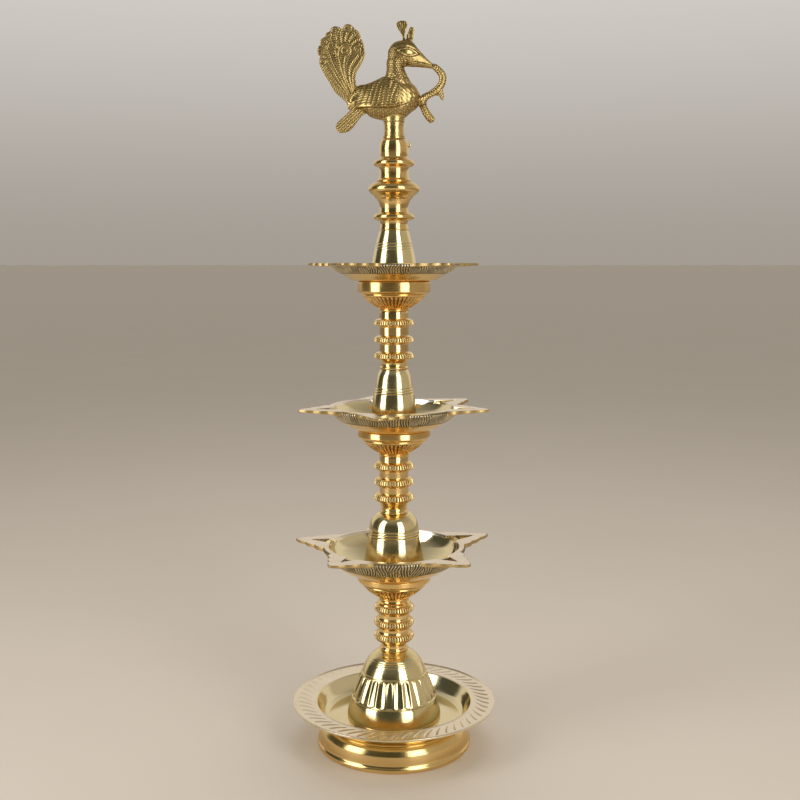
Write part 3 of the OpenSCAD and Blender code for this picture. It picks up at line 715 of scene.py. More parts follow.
def hatch_band(name, z, out, rb, body, z_from, z_to):
    """The chip-carved band under the rim: groups of slanting cuts that lean one way, then the other."""
    o = np.array([(rb, 0.5), (rb, 2.0)] + smooth([(rb, 3.4)] + [tuple(q) for q in out], 10))
    zz = np.linspace(z_from, z_to, 22)
    rr_ = np.interp(zz, o[:, 1], o[:, 0])
    outer = [(r + 0.05, z - d) for r, d in zip(rr_, zz)]
    inner = [(r - 1.6, z - d + 0.6) for r, d in zip(rr_, zz)][::-1]
    outer[0] = (outer[0][0] - 0.35, outer[0][1])
    outer[-1] = (outer[-1][0] - 0.35, outer[-1][1])
    groups, per = 38, 4
    na = len(outer)

    def cut(R, Z, T):
        d = z - Z
        v_ = np.clip((d - z_from) / (z_to - z_from), 0, 1)
        face = np.zeros_like(R)
        face[:na] = 1
        if P0_rev[0]:
            face = face[::-1]
        g = T * groups / TAU
        gi = np.floor(g)
        way = np.where(gi % 2 == 0, 1.0, -1.0)
        wander = 0.5 + 0.5 * np.sin(gi * 12.9898)
        ph = (g - gi) * per + way * (v_ - 0.5) * (0.8 + 1.2 * wander) + 0.22 * np.sin(gi * 5.1 + v_ * 7.0)
        s = np.abs((ph % 1.0) - 0.5) * 2
        wob = 0.16 * np.sin(gi * 2.3 + v_ * 5)
        cutd = np.clip((s - 0.42 - 0.7 * wob) / 0.26, 0, 1)
        edge = sstep(0, 0.12, v_) * (1 - sstep(0.88, 1.0, v_))
        h = cutd * edge
        # the relief paints the low ground between the strokes dark: painted shade
        return R + face * (0.30 + 0.42 * h), Z - face * (0.10 + 0.20 * h), np.where(face > 0, 0.03 + 0.97 * h, 1.0)
    prof = outer + inner
    P0_rev = [area2(prof) < 0]
    v, f, a = lathe(prof, 2016, cut)
    return make(name, v, f, [CUT], body, [], sharp=0, attrs={"relief": a})


D1_out = [(84.5, 11), (79, 17.6), (71.5, 23.6), (64, 28.2), (57, 32), (50.5, 34.6), (45.5, 36)]
D1_in = [(81, 7.5), (76, 15.4), (69, 21), (61.5, 25.6), (54.5, 29.6), (48.5, 32.2), (43, 33.5)]
D2_out = [(77.5, 9.5), (71.2, 15.8), (64, 20.8), (57, 24.8), (50.5, 28), (45.5, 29.5)]
D2_in = [(74.5, 5.5), (68.8, 13.2), (61.8, 18.2), (54.8, 22.4), (48.5, 25.6), (43, 27)]
D3_out = [(78, 6.4), (73.7, 9.6), (68.4, 12.8), (61, 16.8), (53.5, 21.4), (45.5, 23)]
D3_in = [(70.5, 5.4), (65.6, 9.6), (58.6, 13.8), (51, 18.6), (43, 20.5)]
oil_dish("lower_oil_dish", Z_RIM1, 90, 83, D1_out, D1_in,
         [(165.5, 131), (-128, 123), (-46, 129), (25, 136), (92, 126)], "lower_dish", "lower_dish")
oil_dish("middle_oil_dish", Z_RIM2, 84, 76.5, D2_out, D2_in,
         [(-162, 124), (-100, 118), (-16, 123), (37, 123), (101, 118)], "middle_dish", "middle_dish")
oil_dish("upper_oil_dish", Z_RIM3, 84, 73, D3_out, D3_in,
         [(166, 114), (-123, 112), (-53, 112), (19, 116), (92, 112)], "upper_dish", "upper_dish")
hatch_band("lower_dish_band", Z_RIM1, D1_out, 90, "lower_dish", 1.0, 19.8)
hatch_band("middle_dish_band", Z_RIM2, D2_out, 84, "middle_dish", 1.0, 17.0)
hatch_band("upper_dish_band", Z_RIM3, D3_out, 84, "upper_dish", 1.0, 13.2)

# ---------------------------------------------------------------- finial column
col = [(BORE, 647), (17.4, 647), (18.2, 648.2)] + smooth([(18, 650), (17.2, 655), (18.2, 659.6)], 6)
col += [(20.4, 660)] + smooth([(22.6, 660.4), (25, 661.8), (25.9, 664), (25.2, 666.6), (22.6, 668.6)], 6) + [(20.4, 669)]
col += smooth([(18.6, 669.8), (18, 675), (19, 681.4), (21.4, 686.6)], 7) + [(23.4, 688.4), (24.4, 690)]
col += smooth([(25.4, 691.4), (30.6, 695.4), (32.6, 699.6), (30.8, 704), (25.6, 707.8)], 7)
col += [(22, 708.6), (22.6, 710.2), (20.8, 711.6)] + smooth([(19.6, 713), (18.4, 718), (18.6, 724), (19.4, 727.4)], 6)
col += [(20.6, 728)] + smooth([(22.8, 728.4), (25.2, 729.9), (26, 732.2), (25.2, 734.8), (22.4, 736.8)], 6)
col += [(20, 737.3), (18.4, 738.8)] + smooth([(17.4, 740.4), (18.2, 746), (18.2, 753), (16.8, 760), (15.4, 762.4)], 7)
col += [(14.6, 763), (6.05, 763), (6.05, 732), (11, 726), (11, 674), (BORE, 669)]
v, f, a = lathe(refine(rounded(col, 0.5, 4) + [(BORE, 647)], 1.4)[:-1], 192)
make("finial_column_turned", v, f, [GOLD], "top_section", ["finial_column"], sharp=45)


def tube(path, radii, seg=16):
    """A round tube along points, with its ends closed."""
    P = np.array(path, float)
    n = len(P)
    rad = np.array(radii if hasattr(radii, "__len__") else [radii] * n, float)
    T = np.gradient(P, axis=0)
    T /= np.linalg.norm(T, axis=1)[:, None]
    up = np.array([0.0, 1.0, 0.0])
    if abs(T[0] @ up) > 0.9:
        up = np.array([1.0, 0, 0])
    verts = []
    for i in range(n):
        a_ = up - (up @ T[i]) * T[i]
        a_ /= np.linalg.norm(a_)
        b_ = np.cross(T[i], a_)
        up = a_
        for j in range(seg):
            t = TAU * j / seg
            verts.append(P[i] + rad[i] * (math.cos(t) * a_ + math.sin(t) * b_))
    faces = []
    for i in range(n - 1):
        for j in range(seg):
            k = (j + 1) % seg
            faces.append([i * seg + j, i * seg + k, (i + 1) * seg + k, (i + 1) * seg + j])
    verts += [P[0] - T[0] * rad[0] * 0.35, P[-1] + T[-1] * rad[-1] * 0.35]
    c0, c1 = n * seg, n * seg + 1
    for j in range(seg):
        k = (j + 1) % seg
        faces.append([c0, k, j])
        faces.append([c1, (n - 1) * seg + j, (n - 1) * seg + k])
    return np.array(verts), faces


pin = smooth([(4.6, 0, Z_PIN), (12, 0, Z_PIN), (18.0, 0, Z_PIN), (20.0, 0, Z_PIN + 0.7), (20.7, 0, Z_PIN + 2.6),
              (20.2, 0, Z_PIN + 4.6), (19.4, 0, Z_PIN + 5.5)], 6)
v, f = tube(pin, 1.1, 14)
make("retaining_pin_wire", v, f, [GOLD], "retaining_pin", ["retaining_pin"])

# ---------------------------------------------------------------- studs with real threads
def stud(name, z0, z1, body, cad, r=8.0, pitch=2.5, depth=0.9):
    rows = int((z1 - z0) / pitch * 7)
    p = [(0, z0)] + [(r, z0 + (z1 - z0) * i / rows) for i in range(rows + 1)] + [(0, z1)]

    def thread(R, Z, T):
        ph = (Z / pitch - T / TAU) % 1.0
        s = np.abs(ph - 0.5) * 2
        d = depth * np.clip(s * 1.15 - 0.05, 0, 1)
        ends = np.clip(np.minimum(Z - z0, z1 - Z) / 1.6, 0, 1)
        keep = R > 1
        return np.where(keep, R - d - (1 - ends) * 1.0, R), Z
    v, f, a = lathe(p, 28, thread)
    return make(name, v, f, [PLAIN], body, [cad], sharp=50)


stud("lower_stud_threaded", 5, Z_BELL0 + 20, "lower_thread", "lower_stud")
stud("middle_stud_threaded", Z_DISH1 - 19, Z_BELL1 + 20, "middle_thread", "middle_stud")
stud("upper_stud_threaded", Z_DISH2 - 19, Z_BELL2 + 20, "upper_thread", "upper_stud")
stud("top_stud_threaded", Z_DISH3 - 19, Z_BELL3 + 20, "top_thread", "top_stud")
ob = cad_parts["peacock_peg"]
ob.data.materials.clear()
ob.data.materials.append(PLAIN)

# ---------------------------------------------------------------- peacock
shells = []     # (points, faces) of the closed shells that are fused into one casting


def shell(v, f):
    shells.append((np.asarray(v, float), f))


def loft_x(sections, seg=40):
    """Closed shell from oval sections: (cx, cz, half width y, half height, lean in degrees)."""
    rows = []
    S = np.array(smooth(sections, 6))
    for cx, cz, hy, hz, lean in S:
        t = np.arange(seg) * TAU / seg
        y = hy * np.cos(t)
        u = hz * np.sin(t)
        l_ = math.radians(lean)
        rows.append(np.stack([cx - u * math.sin(l_), y, cz + u * math.cos(l_)], -1))
    V = np.stack(rows)
    n = len(V)
    idx = np.arange(n * seg).reshape(n, seg)
    nx = np.roll(idx, -1, 1)
    faces = []
    for i in range(n - 1):
        faces += np.stack([idx[i], idx[i + 1], nx[i + 1], nx[i]], -1).tolist()
    verts = V.reshape(-1, 3)
    verts = np.vstack([verts, V[0].mean(0)[None], V[-1].mean(0)[None]])
    for j in range(seg):
        faces.append([n * seg, int(idx[0, j]), int(nx[0, j])])
        faces.append([n * seg + 1, int(nx[-1, j]), int(idx[-1, j])])
    return verts, faces


def plate(outline, thick, y0=0.0):
    """A flat closed shell in the X-Z plane."""
    n = len(outline)
    v = [(x, y0 - thick / 2, z_) for x, z_ in outline] + [(x, y0 + thick / 2, z_) for x, z_ in outline]
    f = [list(range(n)), list(range(2 * n - 1, n - 1, -1))]
    for i in range(n):
        k = (i + 1) % n
        f.append([i, i + n, k + n, k])
    return np.array(v, float), f


# body, from the tail's root to the breast
shell(*loft_x([(-59, 805, 3.4, 4.0, 12), (-52, 811, 7.0, 11.0, 8), (-45, 815.6, 10.5, 15.4, 4), (-36.5, 814.8, 14.5, 18.2, 2),
               (-28.7, 813.2, 17.6, 22.4, 0), (-12, 814.8, 21.4, 28.2, 0), (0, 814.0, 22.4, 27.8, 0), (12, 813.6, 20.8, 25.0, -2),
               (23, 815.0, 16.2, 17.8, -4), (29.6, 813.6, 10.6, 11.4, -6), (33.2, 813.2, 3.6, 4.4, -6)]))
# neck
shell(*loft_x([(5.4, 822, 17.5, 23.0, 87), (5.0, 830, 16.2, 20.0, 88), (4.4, 837, 14.6, 16.8, 90), (3.1, 844, 12.9, 14.0, 90),
               (1.9, 853, 11.4, 11.3, 92), (1.7, 863, 11.2, 11.0, 92), (3.4, 871, 8.5, 8.5, 90)]))
# head and beak: a wedge with a nearly level lower edge
shell(*loft_x([(-7.6, 868.5, 4.4, 7.0, 0), (-4.4, 868.4, 8.2, 12.6, 0), (0.6, 869.6, 10.6, 16.6, 0), (8.3, 871.2, 11.6, 17.5, 0),
               (16.0, 872.8, 11.2, 17.2, 0), (23.8, 870.8, 9.6, 15.8, 0), (29.7, 867.2, 7.5, 12.2, 0), (36.2, 863.2, 5.4, 8.9, 0),
               (42.6, 859.3, 4.0, 5.7, 0), (47.8, 856.6, 3.0, 3.6, 0), (51.2, 855.4, 1.8, 2.0, 0)]))
# pedestal
ped = [(0, 763.05), (14.4, 763.05)] + smooth([(14.0, 766), (13.0, 771), (12.7, 777), (13.2, 783), (13.8, 789), (14.2, 793)], 5) + [(0, 793)]
v, f, a = lathe(refine(rounded(ped, 0.6), 1.5), 72)
shell(v, f)
# snake: from the beak round to the breast, its forked end, and the part that hangs below
sn = smooth([(47.6, 0, 856.6), (51.5, 0, 855.4), (55.6, 0, 852.0), (60.4, 0, 846.4), (62.0, 0, 841.0), (60.6, 0, 834.2),
             (55.6, 0, 827.2), (47.8, 0, 821.4), (40.7, 0, 817.6), (36.6, 0, 813.4), (35.0, 0, 809.4)], 7)
v, f = tube(sn, np.interp(np.linspace(0, 1, len(sn)), [0, 0.1, 0.3, 0.5, 0.62, 0.74, 0.86, 1],
                          [3.0, 3.9, 4.7, 4.6, 4.8, 4.1, 5.2, 6.0]), 22)
shell(v, f)
fk1 = smooth([(56.8, 0, 829.0), (59.0, 0, 823.6), (60.4, 0, 818.8), (61.6, 0, 813.6)], 6)
v, f = tube(fk1, np.interp(np.linspace(0, 1, len(fk1)), [0, 0.5, 0.8, 1], [3.8, 3.3, 2.5, 1.3]), 16)
shell(v, f)
fk2 = smooth([(53.6, 0, 826.0), (54.4, 0, 822.0), (55.0, 0, 818.6)], 6)
v, f = tube(fk2, np.interp(np.linspace(0, 1, len(fk2)), [0, 0.6, 1], [3.2, 2.3, 1.1]), 14)
shell(v, f)
tl = smooth([(33.6, 0, 815.0), (35.8, 0, 809.6), (37.9, 0, 803.4), (41.2, 0, 796.4), (45.4, 0, 790.6), (49.0, 0, 786.4)], 7)
v, f = tube(tl, np.interp(np.linspace(0, 1, len(tl)), [0, 0.2, 0.38, 0.5, 0.8, 1], [6.2, 5.9, 4.4, 4.7, 4.9, 4.2]), 22)
shell(v, f)
# tail fan with its lobed rim
fan = [(-47.9, 831.2), (-48.7, 837.0), (-48.9, 842.9), (-47.8, 847.7), (-45.2, 853.0), (-41.7, 858.8), (-38.9, 864.7),
       (-37.2, 869.7), (-36.8, 873.9), (-37.9, 876.3), (-37.8, 879.6), (-38.9, 884.5), (-40.4, 888.4), (-42.0, 891.1),
       (-42.8, 895.4), (-44.9, 899.6), (-47.9, 902.0), (-49.3, 902.3), (-51.1, 905.0), (-53.6, 907.6), (-57.5, 909.1),
       (-61.5, 908.7), (-64.0, 906.0), (-65.4, 902.8), (-68.6, 904.8), (-72.5, 906.2), (-76.7, 906.0), (-79.9, 903.6),
       (-81.0, 900.2), (-84.0, 899.0), (-87.2, 896.3), (-88.3, 892.8), (-92.0, 890.4), (-94.0, 886.6), (-93.0, 883.0),
       (-95.6, 880.9), (-97.2, 876.2), (-96.5, 871.0), (-93.8, 867.9), (-95.0, 863.2), (-94.3, 857.8), (-92.1, 852.4),
       (-88.9, 846.4), (-85.5, 840.7), (-82.2, 835.5), (-79.0, 829.7), (-73.8, 822.1), (-67.3, 816.3), (-61.5, 810.8),
       (-56.8, 806.3), (-54.0, 802.7), (-46.2, 805.9), (-40.4, 816.3), (-43.0, 826.7)]
fan = smooth(fan + [fan[0]], 3)[:-1]
shell(*plate(fan, 6.0))
utail = smooth([(-52.0, 803.6), (-57.2, 798.1), (-63.7, 791.7), (-70.8, 785.2), (-73.7, 780.6), (-73.0, 775.4), (-69.5, 771.8),
                (-64.4, 771.6), (-57.9, 773.5), (-52.0, 778.7), (-45.5, 787.1), (-40.4, 793.6), (-34.5, 797.4),
                (-36.0, 804.0)], 5)
shell(*plate(utail, 5.4))
# crest: fan-shaped feathers on short stalks
for lobes, yy in (([(11.4, 888.0), (10.6, 893.0), (8.3, 898.6), (5.0, 903.2), (3.1, 907.4), (3.7, 911.4), (8.3, 913.7),
                    (13.3, 913.7), (16.7, 911.4), (17.1, 907.1), (15.4, 901.9), (13.9, 896.7), (13.8, 888.0)], 0.0),
                  ([(15.4, 888.0), (15.6, 893.4), (16.8, 898.0), (19.2, 901.4), (19.8, 897.0), (19.0, 888.0)], 1.2),
                  ([(19.2, 888.0), (19.0, 894.4), (18.4, 900.2), (20.4, 905.0), (23.8, 905.6), (26.0, 902.2), (24.9, 896.7),
                    (23.2, 888.0)], -0.8)):
    shell(*plate(smooth(lobes + [lobes[0]], 5)[:-1], 3.2, yy))

me = bpy.data.meshes.new("peacock_cast")
allv, allf, off = [], [], 0
for v, f in shells:
    allv += (v * 0.001).tolist()
    allf += [[i + off for i in q] for q in f]
    off += len(v)
me.from_pydata(allv, [], allf)
bm = bmesh.new()
bm.from_mesh(me)
bmesh.ops.recalc_face_normals(bm, faces=bm.faces)
bm.to_mesh(me)
bm.free()
bird = bpy.data.objects.new("peacock_cast", me)
scene.collection.objects.link(bird)
rm = bird.modifiers.new("fuse", "REMESH")
rm.mode = "VOXEL"
rm.voxel_size = 0.00052
rm.adaptivity = 0.0
sm = bird.modifiers.new("soften", "SMOOTH")
sm.factor = 0.5
sm.iterations = 5
dg = bpy.context.evaluated_depsgraph_get()
fused = bpy.data.meshes.new_from_object(bird.evaluated_get(dg))
bird.modifiers.clear()
bird.data = fused
n = len(fused.vertices)
co = np.zeros(n * 3, np.float32)
fused.vertices.foreach_get("co", co)
co = co.reshape(-1, 3).astype(float) * 1000
no = np.zeros(n * 3, np.float32)
fused.vertices.foreach_get("normal", no)
no = no.reshape(-1, 3).astype(float)
X, Y, Z = co[:, 0], co[:, 1], co[:, 2]
side = np.abs(no[:, 1])
# H is the height of the relief and also its darkness: low H is painted dark, partly antique patina and partly painted
# shade in the hollows
H = np.full(n, 0.62)          # relief from 0, deep, to 1, high
D = np.zeros(n)               # displacement along the normal, mm


def tri(x):
    return np.abs((x % 1.0) - 0.5) * 2


def along(pts, line):
    """Distance from points to a polyline in the X-Z plane, the length along it, and the side it lies on."""
    line = np.asarray(line, float)
    best = np.full(len(pts), 1e9)
    al = np.zeros(len(pts))
    sg = np.ones(len(pts))
    acc = 0.0
    for a_, b_ in zip(line[:-1], line[1:]):
        d_ = b_ - a_
        ln = np.hypot(*d_)
        if ln < 1e-9:
            continue
        w_ = pts - a_
        t_ = np.clip((w_ @ d_) / ln ** 2, 0, 1)
        q_ = w_ - t_[:, None] * d_
        dist_ = np.hypot(q_[:, 0], q_[:, 1])
        m_ = dist_ < best
        best = np.where(m_, dist_, best)
        al = np.where(m_, acc + t_ * ln, al)
        sg = np.where(m_, np.sign(d_[0] * w_[:, 1] - d_[1] * w_[:, 0]), sg)
        acc += ln
    return best, al, sg


def dots(u, v, seed=0.0):
    """Uneven pebbles: rows of rounded cells, each row shifted and each cell a little different."""
    r_ = np.floor(v)
    uu_ = u + 0.5 * (r_ % 2) + 0.23 * np.sin(r_ * 12.9 + seed)
    c_ = np.floor(uu_)
    k_ = 0.78 + 0.22 * np.sin(c_ * 7.31 + r_ * 3.17 + seed)
    return np.clip(1 - ((uu_ - c_ - 0.5) / 0.52) ** 2 - ((v - r_ - 0.5) / 0.52) ** 2, 0, 1) * k_


# ---- tail fan: feathers with a spine and barbs, ringed eyes round the rim and three inside
stalks = [[(-54.6, 813.1), (-65.0, 824.1), (-76.7, 838.3), (-84.7, 851.3), (-89.4, 860.4)],
          [(-54.0, 814.0), (-64.4, 828.0), (-73.8, 842.2), (-81.9, 856.5), (-88.3, 866.9), (-92.2, 874.4)],
          [(-53.3, 815.0), (-62.8, 830.6), (-71.0, 844.8), (-78.2, 859.1), (-82.5, 870.8), (-86.0, 879.8), (-88.0, 886.1)],
          [(-52.7, 816.3), (-60.9, 833.2), (-66.6, 847.4), (-69.7, 860.4), (-71.2, 870.8), (-69.0, 879.6), (-62.0, 884.4),
           (-55.4, 881.0)],
          [(-52.0, 817.6), (-58.8, 832.5), (-62.4, 844.8), (-64.0, 856.5), (-62.6, 866.9), (-60.5, 872.0)],
          [(-51.0, 818.2), (-55.7, 834.5), (-57.2, 844.8), (-56.2, 853.9), (-52.7, 861.7), (-47.5, 868.2), (-44.7, 873.0)],
          [(-50.0, 820.2), (-52.3, 834.5), (-52.7, 843.5), (-50.7, 851.3), (-46.8, 857.1), (-42.7, 863.0), (-40.6, 867.9)],
          [(-74.2, 870.0), (-75.8, 877.0), (-78.0, 883.0), (-80.6, 890.0), (-82.5, 894.6)],
          [(-72.0, 879.0), (-73.0, 887.0), (-74.4, 895.0), (-74.8, 900.0)],
          [(-67.4, 885.0), (-67.8, 890.4), (-68.0, 896.7), (-68.1, 903.5)],
          [(-62.8, 887.0), (-61.9, 892.6), (-60.0, 899.0), (-58.6, 904.0)],
          [(-58.2, 886.4), (-55.6, 891.8), (-52.2, 896.7), (-48.2, 898.6)],
          [(-54.6, 883.6), (-50.7, 887.3), (-46.8, 889.8), (-42.2, 889.6)],
          [(-52.0, 878.6), (-48.1, 881.2), (-43.8, 882.6), (-40.2, 882.6)]]
eyes = [(-92.6, 874.7, 4.2), (-89.2, 886.6, 4.2), (-83.0, 895.2, 3.6), (-74.8, 901.0, 4.6), (-58.5, 903.6, 4.8),
        (-47.8, 897.4, 4.0), (-42.2, 889.0, 3.2), (-40.3, 881.6, 2.8), (-40.4, 872.4, 3.6), (-78.5, 882.0, 5.4),
        (-60.8, 875.6, 6.2), (-46.0, 876.0, 4.0), (-90.2, 861.6, 3.6), (-67.9, 902.0, 2.2)]
fan_zone = (X < -36) & (Z > 806 + 0.62 * np.clip(X + 58, 0, 30)) & ((X < -45) | (Z > 842))
fz = fan_zone & (side > 0.32)
fi = np.where(fz)[0]
P2 = co[fi][:, [0, 2]]
ds, als = [], []
for st in stalks:
    d_, a_, g_ = along(P2, np.array(smooth(st, 6)))
    ds.append(d_)
    als.append(a_ + d_ * 0.75)          # barbs sweep forwards from the spine
ds, als = np.array(ds), np.array(als)
order = np.argsort(ds, axis=0)
ar = np.arange(len(fi))
d1, d2_ = ds[order[0], ar], ds[order[1], ar]
al1 = als[order[0], ar]
gap = 1 - sstep(0.25, 0.95, d2_ - d1)
barbs = (1 - tri(al1 / 2.85)) ** 0.9
h_f = 0.02 + 0.80 * barbs
# the gaps between feathers are painted dark as well as sunk: painted shade
h_f = h_f * (1 - 0.95 * gap)
h_f = np.maximum(h_f, np.exp(-(d1 / 0.72) ** 2) * 1.0)
for k_, (ex_, ez_, er_) in enumerate(eyes):
    r_ = np.hypot(P2[:, 0] - ex_, P2[:, 1] - ez_)
    ins = r_ < er_
    lines_ = 0.5 + 0.5 * np.cos(np.arctan2(P2[:, 1] - ez_, P2[:, 0] - ex_) * (12 if er_ > 5 else 9))
    ringed = 0.5 + 0.5 * np.cos(r_ / er_ * (4.1 if er_ > 4.1 else 3.0) * PI)
    inner_ = np.where(r_ < er_ * 0.72, 0.18 + 0.62 * lines_ * (r_ > er_ * 0.22) + 0.7 * (r_ <= er_ * 0.22), 0.1 + 0.9 * ringed)
    h_f = np.where(ins, inner_ if er_ > 3.3 else 0.15 + 0.85 * ringed, h_f)
    rim_ = np.exp(-((r_ - er_ * 0.93) / 0.42) ** 2)
    h_f = np.maximum(h_f, rim_)
    # a dark ring painted just outside each eye: painted shade in its groove
    h_f = np.minimum(h_f, 1 - 0.85 * np.exp(-((r_ - er_ * 1.12) / 0.35) ** 2) * (r_ > er_))
h_f = np.clip(h_f, 0, 1)
H[fi] = h_f
D[fi] = 0.70 * (h_f - 0.45)
edge_f = fan_zone & (side <= 0.32)
H = np.where(edge_f, 0.78, H)

# ---- under tail: long ribs and a beaded border
ua = (X + 36) * -0.74 + (Z - 799) * -0.67
ub = (X + 36) * 0.67 + (Z - 799) * -0.74
ut = (ua > 4) & (X < -36) & (Z < 803) & (side > 0.32)
hu = 0.12 + 0.88 * (1 - tri(ub / 3.1 + 0.25)) ** 0.7
cross = 1 - tri(ua / 1.9 + np.abs(ub) * 0.25)
hu = np.where((tri(ub / 3.1 + 0.25) > 0.55), 0.1 + 0.45 * cross, hu)
H = np.where(ut, hu, H)
D = np.where(ut, 0.9 * (hu - 0.4), D)

# ---- wing: rows of long scales over the body's side, ending in a raised lower border
wing_edge = 804.5 - 0.035 * (X + 47) + 0.0072 * np.clip(X + 12, 0, 60) ** 2
front = 4.0 + 0.42 * (Z - 810) - 0.018 * (Z - 812) ** 2
wz = (X > -50) & (X < front) & (Z > wing_edge) & (Z < 846) & ~fz & (side > 0.10)
uu = (X + 60 - 0.34 * (Z - 810) + 0.9 * np.sin((X + Z) * 0.11)) / 6.4
ro = np.floor(uu)
vv = (Z - 0.20 * (X + 10) + 0.6 * np.sin(X * 0.21)) / 3.0 + 0.37 * ro
fu, fv = uu - ro, vv - np.floor(vv)
kk_ = 0.80 + 0.20 * np.sin(np.floor(vv) * 5.7 + ro * 2.9)
sc = np.clip(1 - (np.abs(fu - 0.5) / 0.50) ** 3.0, 0, 1) * np.clip(1 - (np.abs(fv - 0.5) / 0.44) ** 2, 0, 1) * kk_
lit_ = sstep(-46, -8, X) * (1 - 0.35 * sstep(826, 842, Z))
hb = np.clip(0.14 + (0.50 + 0.40 * lit_) * sc + 0.10 * lit_, 0, 1)
H = np.where(wz, hb, H)
D = np.where(wz, 0.95 * (hb - 0.4), D)
wd = Z - wing_edge
bz = (X > -47) & (X < 17) & (side > 0.15) & (Z < 826)
border = np.exp(-(wd / 1.25) ** 2) * bz
H = np.maximum(H, border)
D += 1.2 * border
# painted shade in the crease above the border
crease = np.exp(-((wd + 2.5) / 1.1) ** 2) * bz
H = np.minimum(H, 1 - 0.85 * crease)
D -= 0.4 * crease
fd = X - front
fb = np.exp(-(fd / 0.9) ** 2) * (Z > wing_edge + 1) * (Z < 846) * (Z > 806) * (side > 0.1)
H = np.maximum(H, 0.95 * fb)
D += 0.6 * fb
# painted shade: a dark line along the wing's front edge, with no groove cut for it
fc = np.exp(-((fd - 2.0) / 0.9) ** 2) * (Z > wing_edge) * (Z < 846) * (Z > 808) * (side > 0.1)
H = np.minimum(H, 1 - 0.7 * fc)
# ---- belly, breast and neck: pebbled, finer on the face
belly = (Z < wing_edge - 3.2) & (Z > 788) & (X > -38) & (X < 30) & (np.hypot(X, Y) > 15)
hp = dots(np.degrees(np.arctan2(Y, Z - 815)) / 11.0, X / 3.0, 1.0)
H = np.where(belly, 0.30 + 0.5 * hp, H)
D = np.where(belly, 0.22 * (hp - 0.4), D)
fade = sstep(829, 842, Z) * (Z < 892) * (X < 46 - 0.02 * Z * 0) * ((X < 30) | (Z > 852))
neckz = (fade > 0) & ~wz & ~fan_zone & (X > -16) & (Z < 892)
tn = np.arctan2(Y, X - 3.0)
hn = dots(np.degrees(tn) / 15.0, Z / 2.35, 0.0)
face = sstep(864, 868, Z + 0.35 * (X - 10)) * (X > 2)
hf = dots((X + 0.3 * Z) / 2.0, (Z - 0.25 * X) / 1.7, 2.0)
hn = hn * (1 - face) + (0.30 + 0.55 * hf) * face
hn = np.clip(0.12 + 0.88 * hn, 0, 1)
H = np.where(neckz, H * (1 - fade) + hn * fade, H)
D = np.where(neckz, D * (1 - fade) + 0.50 * (hn - 0.4) * fade * (1 - 0.4 * face), D)
# the smooth breast keeps a few shallow hammer marks
br = (X > 8) & (Z < 846) & ~wz & (Z > 797)
hm = dots((Z + 0.6 * X) / 6.5, (Y + 0.4 * X) / 6.0, 4.0)
H = np.where(br, H * 0.5 + 0.20 + 0.26 * hm, H)
D = np.where(br, D + 0.55 * (hm - 0.4), D)

# ---- head: an almond eye between a brow and the cheek, and the line of the beak
for sgn in (-1, 1):
    on = (no[:, 1] * sgn > 0.2) & (Z > 850)
    c_, s_ = math.cos(math.radians(-9)), math.sin(math.radians(-9))
    ax_ = ((X - 17.4) * c_ + (Z - 872.4) * s_) / 12.2
    az_ = (-(X - 17.4) * s_ + (Z - 872.4) * c_) / 4.6
    de = np.abs(ax_) ** 1.5 + np.abs(az_) ** 1.25 * 0.94
    lid = np.exp(-((de - 1.0) / 0.16) ** 2) * on
    ball = np.exp(-(np.hypot(ax_ / 0.60, az_ / 0.72) / 0.9) ** 4) * on
    D = np.where((de < 1.6) & on, 0, D)
    D += 0.75 * lid + 0.85 * ball
    # the eye socket round the lid and ball is painted dark: painted shade
    H = np.where((de < 1.5) & on, np.clip(0.04 + lid + ball * 0.95, 0, 1), H)
    brow = np.exp(-((de - 1.9) / 0.22) ** 2) * on * (az_ > 0.5)
    H = np.maximum(H, 0.85 * brow)
    D += 0.35 * brow
    shade = np.exp(-((de - 2.9) / 0.5) ** 2) * on * (az_ > 0.8)
    H = H * (1 - 0.6 * shade)
    bl = (Z - (857.6 + (47 - X) * 0.16)) / 0.55
    bk = np.exp(-bl ** 2) * on * (X > 26) * (X < 50)
    D -= 0.45 * bk
    # painted shade in the beak line
    H = np.where(bk > 0.3, 0.1, H)

# ---- snake: crossed bands all along it
near = (X > 31) & ((X > 50.5) | (Z < 852)) & (Z < 861)
ni = np.where(near)[0]
PN = co[ni][:, [0, 2]]
da, aa, ga = along(PN, np.array(sn)[:, [0, 2]])
db, ab, gb = along(PN, np.array(tl)[:, [0, 2]])
dc, ac, gc = along(PN, np.array(fk1)[:, [0, 2]])
yy_ = co[ni][:, 1]
which = np.argmin(np.stack([da, db + 0.3, dc + 0.6]), 0)
al_ = np.choose(which, [aa, ab + 3, ac + 5])
off_ = np.choose(which, [da * ga, db * gb, dc * gc])
near_ = np.minimum(np.minimum(da, db), dc) < 6.6
hs = (1 - tri((al_ + 0.9 * off_) / 3.2)) ** 0.7 * 0.75 + (1 - tri((al_ - 0.9 * off_) / 3.2)) ** 0.7 * 0.45
hs = np.clip(hs - 0.12, 0, 1)
gap2 = np.exp(-((ab - 9.5) / 1.3) ** 2) * (which == 1)
hs = hs * (1 - 0.8 * gap2)
keep = near_ & (np.abs(yy_) < 7)
keep &= (PN[:, 0] > 33.5)
H[ni[keep]] = hs[keep]
D[ni[keep]] = 0.60 * (hs[keep] - 0.45)

# ---- crest: ribs that spread from the stalks
cz_ = (Z > 891.5) & (X > -5)
cre = cz_ & (side > 0.32)
ca = np.degrees(np.arctan2(X - np.where(X < 17.6, 12.4, 20.8), Z - 886))
hc = 0.50 + 0.42 * (1 - tri(ca / 6.0 + 0.5)) ** 0.7
H = np.where(cre, hc, H)
D = np.where(cre, 0.45 * (hc - 0.5), D)
H = np.where(cz_ & (side <= 0.32), 0.85, H)
